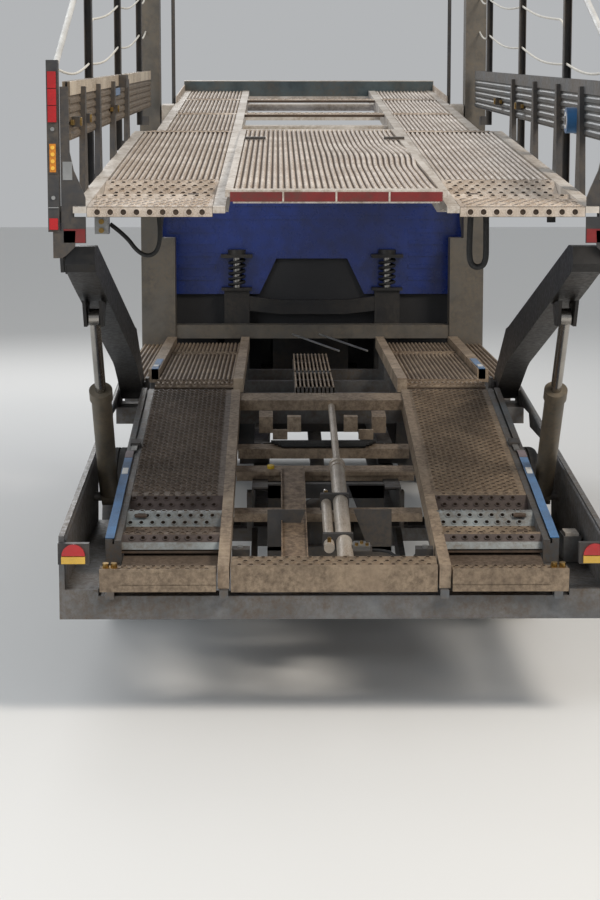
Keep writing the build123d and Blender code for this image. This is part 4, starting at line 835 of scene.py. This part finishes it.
def tail_post(rail, side):
    """A tail post with its two plates, reflectors, row of amber lamps, bolts and trim line."""
    face, mid = TAIL_X + 0.01, 1.25
    front = -4.443
    rail.box((face, -4.395), (1.225, 1.275), (2.29, 3.04), side=side)
    rail.box((-4.44, -4.4), (1.165, 1.225), (2.33, 2.38), side=side)
    plate = [(1.217, 2.925), (1.18, 2.925), (1.177, 2.64), (1.16, 2.56), (1.125, 2.48), (1.11, 2.44),
             (1.11, 2.404), (1.166, 2.404), (1.166, 2.356), (1.11, 2.356), (1.11, 2.24), (1.217, 2.24)]
    rail.along(plate, (-4.459, front), side=side)
    hook = [(1.255, 2.174), (1.255, 2.295), (1.155, 2.295), (1.159, 2.223), (1.197, 2.187), (1.215, 2.174)]
    rail.along(hook, (-4.461, front), side=side)
    rail.box((-4.461, -4.4585), (1.112, 1.208), (2.242, 2.303), "red_paint", side)
    rail.box((-4.462, -4.459), (1.166, 1.208), (2.518, 2.598), "silver", side)
    for zs in ((2.77, 2.841), (2.844, 2.915), (2.918, 2.99), (2.3, 2.35)):
        rail.box((face - 0.0095, face), around(mid, 0.038), zs, "red_mirror", side)
    rail.box((face - 0.003, face), around(mid, 0.042), (2.545, 2.682), side=side)
    rail.box((face - 0.006, face - 0.003), around(mid, 0.028), (2.552, 2.676), "amber", side)
    for i in range(4):
        rail.disc((face - 0.0065, side * mid, 2.57 + 0.03 * i), ALONG, 0.009, 0.005, 14, "amber_bright")
    for z in (2.74, 2.44):
        rail.disc((face - 0.002, side * mid, z), ALONG, 0.009, 0.006, 12, "silver")
    rail.box((face - 0.005, face), around(mid, 0.044), (2.395, 2.399), "silver", side)


def spline_length(points):
    """Length of the clamped quadratic spline through its control points."""
    p = np.asarray(points, float)
    n = len(p)
    knots = np.array([0.0] * 3 + list(range(1, n - 2)) + [n - 2.0] * 3)
    line = []
    for t in np.linspace(0, n - 2 - 1e-9, 400):
        k = int(np.searchsorted(knots, t, side="right") - 1)
        d = [p[j + k - 2].copy() for j in range(3)]
        for r in (1, 2):
            for j in range(2, r - 1, -1):
                i = j + k - 2
                a = (t - knots[i]) / (knots[i + 3 - r] - knots[i])
                d[j] = (1 - a) * d[j - 1] + a * d[j]
        line.append(d[2])
    return float(np.linalg.norm(np.diff(line, axis=0), axis=1).sum())


def soft_line(name, points, radius, body, material):
    """A cord or hose as a spline curve. Its length is worked out but not kept."""
    curve = bpy.data.curves.new(name, "CURVE")
    curve.dimensions = "3D"
    curve.bevel_depth = radius
    curve.bevel_resolution = 4
    curve.use_fill_caps = True
    line = curve.splines.new("NURBS")
    line.points.add(len(points) - 1)
    for point, spot in zip(line.points, points):
        point.co = (*spot, 1.0)
    line.order_u = 3
    line.use_endpoint_u = True
    line.resolution_u = 24
    curve.materials.append(LOOKS[material])
    obj = place(name, curve, body)
    spline_length(points)
    return obj


def safety_ropes():
    """Sagging ropes from the tail posts to the columns. The high row starts at the low one."""
    xs = [-4.43, *POST_XS, 1.93]
    for side, name in BOTH:
        for row, lift in ROPE_ROWS.items():
            zs = [TAIL_ROPE_Z] + [upper_z(x) + lift for x in xs[1:]]
            for i in range(0 if row == "low" else 1, 4):
                x0 = xs[i] + (0.037 if i == 0 else 0.034)
                x1 = xs[i + 1] + (0.009 if i < 3 else 0.017)
                points = [(x0 + (x1 - x0) * t, side * ROPE_Y,
                           zs[i] + (zs[i + 1] - zs[i]) * t - 4 * ROPE_SAG * t * (1 - t))
                          for t in (0.0, 0.3, 0.7, 1.0)]
                if row == "high" and i == 1:
                    foot = upper_z(xs[1]) + ROPE_ROWS["low"] + 0.016
                    points[:1] = [(x0, side * ROPE_Y, foot), (x0, side * ROPE_Y, zs[1] - 0.02)]
                rope = soft_line(f"rope_{name}_{row}_{i}", points, ROPE_RADIUS, "upper_deck",
                                 "white_rope")
                if rope.name == "rope_left_low_0":
                    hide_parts("safety_ropes")


def hoses():
    """The hoses at the arm heads, the valve beside the left one, and the hose of the tail's valve."""
    routes = {"hose_left": (0.01, ((1.034, 2.311), (0.961, 2.256), (0.911, 2.185), (0.86, 2.16),
                                    (0.815, 2.185), (0.8, 2.27), (0.812, 2.368))),
              "hose_right": (0.014, ((-0.634, 2.368), (-0.628, 2.236), (-0.63, 2.128), (-0.668, 2.106),
                                     (-0.706, 2.128), (-0.706, 2.236), (-0.704, 2.368)))}
    for name, (radius, route) in routes.items():
        soft_line(name, [(ARM_HEAD_X, y, z) for y, z in route], radius, "upper_deck", "rubber")
    valve = Piece("silver")
    valve.box((-4.14, -4.06), (1.034, 1.098), (2.268, 2.345))
    valve.box((-4.12, -4.08), (1.05, 1.082), (2.345, 2.372), "brass")
    for z in (2.285, 2.325):
        valve.disc((-4.15, 1.066, z), ALONG, 0.012, 0.024, 14, "brass")
    valve.disc((-4.12, -0.997, 2.345), UP, 0.02, 0.05, 18, "rubber")
    valve.make("arm_valve", "upper_deck")
    tail = ((-2.915, -0.189, 0.02), (-2.925, -0.26, 0.025), (-3.02, -0.3, 0.02), (-3.03, -0.38, 0.012),
            (-2.965, -0.395, 0.01))
    soft_line("hose_tail", [tuple(float(v) for v in p) for p in low(tail)], 0.008, "tail_extension",
              "rubber")


def deck_fittings():
    """Blocks, row of pipes and cap between the sloping deck's tracks."""
    gear = Piece("zinc_tan", low)
    for side, _ in BOTH:
        gear.box((-0.62, -0.48), (0.29, 0.37), (-0.047, 0.05), side=side)
        gear.box((-0.6, -0.56), (0.125, 0.205), (-0.047, 0.045), "zinc_hi", side)
        gear.box((-0.76, -0.74), (0.205, 0.29), (-0.047, 0.01), side=side)
    for i in range(4):
        u, reach = -0.862 - 0.026 * i, 0.3 - 0.02 * i
        gear.tube([(u, -reach, -0.032), (u, reach, -0.032)], 0.011, 12, "rubber")
    gear.disc((-1.33, 0.3, -0.04), UP, 0.02, 0.02, 16, "yellow_cap")
    gear.make("deck_fittings", "lower_deck")


def straps_and_lamps():
    """Flat lashing straps with blank labels and buckles, and the round-topped tail lamps."""
    for side, name in BOTH:
        lash = Piece("strap_blue", low)
        ys = span(side, (1.043, 1.086))
        strap(lash, [(-1.56, 0.083), (-1.72, 0.087), (-1.9, 0.083), (-2.15, 0.088), (-2.4, 0.083),
                     (-2.65, 0.087), (-2.915, 0.084)], ys)
        strap(lash, [(-1.43, 0.084), (-1.5, 0.088), (-1.56, 0.0845)], ys, "strap_faded")
        lash.box((-1.87, -1.77), (1.05, 1.08), (0.0845, 0.0895), "label_white", side)
        lash.box((-1.33, -1.24), (1.015, 1.07), (0.081, 0.098), "dark_steel", side)
        lash.box((-1.43, -1.33), (1.03, 1.06), (0.081, 0.088), "silver", side)
        lash.make(f"lashing_strap_{name}", "lower_deck")
        tie = Piece("strap_blue")
        ys = span(side, (1.022, 1.066))
        strap(tie, [(-0.425, 1.268), (-0.3, 1.272), (-0.1, 1.268), (0.2, 1.271)], ys)
        tie.box((-0.33, -0.24), (1.028, 1.06), (1.271, 1.2755), "label_white", side)
        tie.box((-0.43, -0.4265), ys, (1.2, 1.268))
        tie.make(f"front_strap_{name}", "root")
        lamp = Piece("dark_steel")
        lamp.box((-4.292, -4.25), (1.131, 1.275), (0.757, 0.855), side=side)
        lamp.box((-4.31, -4.292), (1.148, 1.258), (0.763, 0.796), "yellow_lens", side)
        dome = [(1.203 + 0.054 * math.cos(a), 0.799 + 0.054 * math.sin(a))
                for a in np.linspace(0, math.pi, 19)]
        lamp.along(dome, (-4.307, -4.292), "red_mirror", side)
        lamp.make(f"tail_lamp_{name}", "root", "tail_lamps" if side > 0 else None)


def channel_block():
    """The block in the right side channel."""
    block = Piece("zinc_grey")
    block.box((-3.62, -3.45), (-1.236, -1.15), (0.632, 0.76))
    block.box((-3.6, -3.47), (-1.226, -1.16), (0.76, 0.775), "zinc_pale")
    block.make("channel_block", "root")


def arm_heads():
    """Pin bosses on the lift arms' heads and feet, with a ring of bolts on each head."""
    for side, name in BOTH:
        head = Piece("arm_black")
        for x, z, radius in ((ARM_HEAD_X, ARM_HEAD_Z, 0.07), (ARM_FOOT_X, ARM_FOOT_Z, 0.062)):
            head.disc((x, side * 1.2385, z), ACROSS, radius, 0.005, 28)
        for spot in ring(ARM_HEAD_X, side * 1.2405, ARM_HEAD_Z, 0.05, 6):
            head.disc(spot, ACROSS, 0.008, 0.005, 6, "silver")
        head.make(f"arm_head_{name}", "lift_arms")


def body_fittings():
    """Finned housings of the front deck, top tubes of the side channels, saddle and gussets."""
    body = Piece("zinc_grey")
    fin_zs, steel = (1.15, 1.192), "dark_steel"
    for x0, x1 in ((-0.78, 0.09), (0.22, 1.38)):
        body.box((x0, x1), (-0.095, 0.155), (1.08, fin_zs[0]), steel)
        for y in (-0.092 + i * 0.0258 for i in range(10)):
            body.box((x0, x1), (y, y + 0.009), fin_zs, "zinc_hi")
        for x in (x0, (x0 + x1) / 2, x1 - 0.018):
            body.box((x, x + 0.018), (-0.092, 0.149), (fin_zs[0], 1.186))
    for side, _ in BOTH:
        y = side * 1.258
        body.tube([(-4.23, y, 0.853), (-2.0, y, 1.045), (-0.45, y, 1.19)], 0.016, 12, "rail_slate")
        body.box((-1.81, -1.185), (0.318, 0.398), (CHASSIS_TOP, 0.978), steel, side)
    arch = [(-0.48, 0.862), (-0.4, 0.862), (-0.33, 0.93), (0.33, 0.93), (0.4, 0.862), (0.48, 0.862),
            (0.48, 0.905), (0.34, 0.985), (-0.34, 0.985), (-0.48, 0.905)]
    body.along(arch, (-1.834, -1.81), steel)
    gusset = [(0.314, 0.64), (0.314, 0.85), (0.12, 0.85), (0.2, 0.64)]
    for x in (-3.34, -2.56):
        for side, _ in BOTH:
            body.along(gusset, (x, x + 0.012), steel, side)
    for xs, zs in (((-2.56, -2.48), (0.78, 0.858)), ((-3.34, -3.27), (0.6, 0.66))):
        body.box(xs, wide(0.314), zs, steel)
    for y in (-0.1, 0.1):
        body.tube([(0.968, y - 0.27, 1.25), (1.859, y + 0.05, 1.29)], 0.007, 10, "silver")
    body.make("body_fittings", "root")
    coil = Piece("hose_red")
    x, y, z = 0.834, 1.15, 1.09
    coil.tube([(x + 0.045 * t / 12.0, y + 0.045 * math.cos(t), z + 0.045 * math.sin(t))
               for t in np.linspace(0, 8 * math.pi, 120)], 0.006, 10)
    coil.make("air_coil", "root")


def cab_mounts():
    """Sprung towers behind the cab's rear wall, the bowed beam between them, and the low front brackets."""
    mounts = Piece("arm_black")
    wall_x, x, spring = 2.3195, 2.245, 0.056
    for side, _ in BOTH:
        for x0, ys, zs in ((2.17, (0.316, 0.665), (CHASSIS_TOP, 0.92)), (2.2, (0.475, 0.665), (0.92, 1.595)),
                           (2.17, (0.455, 0.685), (1.595, 1.615)), (2.17, (0.45, 0.69), (1.842, 1.866))):
            mounts.box((x0, wall_x), ys, zs, side=side)
        y = side * 0.57
        mounts.disc((x, y, 1.883), UP, 0.068, 0.036, 24)
        mounts.disc((x, y, 1.728), UP, 0.03, 0.228, 18, "rod_bright")
        mounts.tube([(x + spring * math.cos(t), y + spring * math.sin(t), 1.626 + 0.205 * t / (10 * math.pi))
                     for t in np.linspace(0, 10 * math.pi, 140)], 0.011, 10, "rubber")
        mounts.box((4.0, 4.1), FRAME_RAIL, (CHASSIS_TOP, 1.2695), side=side)
    bow = [(-0.475, 1.55), (-0.475, 1.44), (-0.25, 1.415), (0.25, 1.415), (0.475, 1.44), (0.475, 1.55),
           (0.25, 1.52), (-0.25, 1.52)]
    mounts.along(bow, (2.205, 2.275))
    mounts.make("cab_mount_towers", "root", "cab_mounts")


def cab_trim():
    """Pressed ridges of the cab's rear wall, grille bars, door handles, wipers and the blank front plate."""
    wall = Piece("cab_blue")
    xs = (2.311, 2.3205)
    for z, reach in ((2.61, 0.98), (2.53, 1.0), (2.45, 1.02), (2.34, 1.04), (2.24, 1.06), (2.14, 1.06)):
        wall.box(xs, wide(reach), around(z, 0.028))
    for z in (2.04, 1.95, 1.86, 1.77, 1.68):
        for side, _ in BOTH:
            wall.box(xs, (0.735, 1.08), around(z, 0.028), side=side)
    for z in (1.203, 1.263, 1.323, 1.383, 1.443):
        wall.box((4.437, 4.443), wide(0.56), (z, z + 0.013), "black_plastic")
    for side, _ in BOTH:
        wall.box((3.06, 3.18), (1.171, 1.19), (1.76, 1.79), "black_plastic", side)
        wall.tube([(4.18, side * 0.1, 1.99), (4.23, side * 0.52, 2.02)], 0.007, 8, "black_plastic")
    wall.box((4.473, 4.4745), wide(0.26), (0.47, 0.58), "label_white")
    wall.make("cab_trim", "root")


def tyre_outline():
    """Half section of a tyre with two grooves, mirrored, as (radius, across) points."""
    half = [(0.292, 0.112), (0.305, 0.128), (0.332, 0.1385), (0.37, 0.1425), (0.405, 0.1405), (0.44, 0.131),
            (0.462, 0.118), (0.472, 0.104), (TYRE_RADIUS, 0.09)]
    floor = TYRE_RADIUS - 0.01
    for y in (0.062, 0.02):
        half += [(TYRE_RADIUS, y + 0.005), (floor, y + 0.003), (floor, y - 0.003), (TYRE_RADIUS, y - 0.005)]
    return half + [(r, -y) for r, y in half[::-1]]


def wheels():
    """Grooved tyres with notched shoulders, and the wheel nuts."""
    outline, turns = tyre_outline(), 120
    faces = bands(turns, len(outline), loop=True)
    axles = (("tyre_front", "wheel_front", FRONT_AXLE_X, (1.02,), 1.094),
             ("tyres_rear", "wheels_rear", REAR_AXLE_X, (1.105, 0.787), 1.069))
    for (tyres, rims, x, ys, face), (side, end) in itertools.product(axles, BOTH):
        name, body = f"{tyres}_{end}", f"{rims}_{end}"
        tyre = Piece("tyre")
        for y_mid in ys:
            points = []
            for i, a in enumerate(circle(turns)):
                for r, y in outline:
                    if abs(y) > 0.085 and r > 0.46 and i % 4 == 0:
                        r -= 0.006
                    points.append((x + r * math.cos(a), side * y_mid + y, TYRE_RADIUS + r * math.sin(a)))
            tyre.add(points, faces)
        tyre.make(f"{name}_tread", body, name, 30.0)
        nuts = Piece("silver")
        for spot in ring(x, side * face, TYRE_RADIUS, 0.1675, 10):
            nuts.disc(spot, ACROSS, 0.014, 0.024, 6)
        nuts.make(f"{name}_nuts", body, sharp=20.0)


def power(value, exponent):
    """A power that keeps its sign."""
    return math.copysign(abs(value) ** exponent, value)


def seats():
    """Padded seat cushions and backs with welted seams, and the bases below them."""
    rows, cols = 24, 32
    middle = rows // 2 * cols
    for side, name in BOTH:
        for part, x, z, length, width, depth, lean, fill in (
                ("cushion", 2.96, 1.685, 0.52, 0.5, 0.15, 0.0, 0.8),
                ("back", 2.735, 2.05, 0.15, 0.5, 0.72, 0.16, 0.7)):
            points = []
            for v in (math.pi * (i / rows - 0.5) for i in range(rows + 1)):
                for a in circle(cols):
                    reach = power(math.cos(v), 0.32) / 2
                    points.append((length * reach * power(math.cos(a), 0.32),
                                   side * 0.67 + width * reach * power(math.sin(a), 0.32),
                                   depth / 2 * power(math.sin(v), 0.42)))
            points = [tuple(float(v) for v in p) for p in tilted(points, x, z, lean)]
            pad = Piece("seat_cloth")
            pad.add(points, bands(rows, cols))
            seam = points[middle:middle + cols]
            pad.tube(seam + seam[:1], 0.005, 8)
            first = side > 0 and part == "cushion"
            made = pad.make(f"seat_{part}_{name}", "root", "seats" if first else None, 60.0)
        base = Piece("grey_plastic")
        base.box((2.77, 3.16), (0.47, 0.87), (1.33, 1.62), side=side)
        base.make(f"seat_base_{name}", "root")


def dress_nodes():
    """Materials of the solids that show as they are."""
    table = {
        "zinc_grey": "body_frame",
        "zinc_pale": "over_cab_deck",
        "dark_steel": "chassis_frame front_axle rear_axle knuckle_left knuckle_right driveline "
                      "side_tanks side_boards",
        "column_grey": "portal",
        "arm_black": "lift_arms",
        "cylinder_olive": "lift_barrels",
        "rod_bright": "lift_rods",
        "cab_blue": "cab_rear_wall cab_quarters cab_roof cab_front door_left door_right",
        "black_plastic": "cab_floor bumper mirrors dashboard",
        "glass": "windscreen door_glass_left door_glass_right",
        "lamp_glass": "headlamps",
        "rim_silver": "rim_front_left rim_front_right rims_rear_left rims_rear_right",
    }
    for paint, names in table.items():
        for name in names.split():
            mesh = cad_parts[name].data
            mesh.materials.clear()
            mesh.materials.append(LOOKS[paint])


def add_object(name, data, spot=(0, 0, 0), turn=(0, 0, 0)):
    """A lamp, camera or floor, which rides on no body."""
    obj = bpy.data.objects.new(name, data)
    bpy.context.scene.collection.objects.link(obj)
    obj.location = spot
    obj.rotation_euler = turn
    return obj


def stage():
    """Pale floor, even world light, soft lamps and the photograph's camera."""
    scene = bpy.context.scene
    size = 60.0
    mesh = bpy.data.meshes.new("floor")
    corners = [(-size, -size, 0), (size, -size, 0), (size, size, 0), (-size, size, 0)]
    mesh.from_pydata(corners, [], [(0, 1, 2, 3)])
    mesh.materials.append(Nodes("floor_pale").finish((0.74, 0.74, 0.73), 0.85))
    add_object("floor", mesh)
    world = bpy.data.worlds.new("world")
    scene.world = world
    world.use_nodes = True
    back = world.node_tree.nodes["Background"]
    back.inputs["Color"].default_value = (0.82, 0.84, 0.86, 1)
    back.inputs["Strength"].default_value = 0.55
    target = Vector((-1.0, 0, 1.4))
    for name, spot, watts, width, tone in (("key", (-9.5, -6.0, 10.5), 1100.0, 4.0, (1.0, 0.92, 0.82)),
                                           ("fill", (-9.0, 8.0, 6.0), 380.0, 6.0, (0.88, 0.94, 1.0)),
                                           ("front", (12.0, 4.0, 9.0), 600.0, 6.0, (1.0, 1.0, 1.0))):
        lamp = bpy.data.lights.new(name, "AREA")
        lamp.energy, lamp.size, lamp.color = watts, width, tone
        add_object(name, lamp, spot, (target - Vector(spot)).to_track_quat("-Z", "Y").to_euler())
    camera = bpy.data.cameras.new("camera")
    camera.sensor_fit = "VERTICAL"
    camera.sensor_height = SENSOR_HEIGHT
    camera.lens = CAMERA_LENS
    turn = (math.pi / 2 - CAMERA_PITCH, 0.0, -math.pi / 2 + CAMERA_YAW)
    scene.camera = add_object("camera", camera, CAMERA_PLACE, turn)
    scene.view_settings.view_transform = "Standard"


for build in (dress_nodes, lower_deck, tail_extension, tail_ram, front_deck, upper_rear_deck, upper_tracks,
              centre_panel, over_cab_tracks, side_boards, railing, safety_ropes, hoses, deck_fittings,
              straps_and_lamps, channel_block, arm_heads, body_fittings, cab_mounts, cab_trim, wheels,
              seats, stage):
    build()
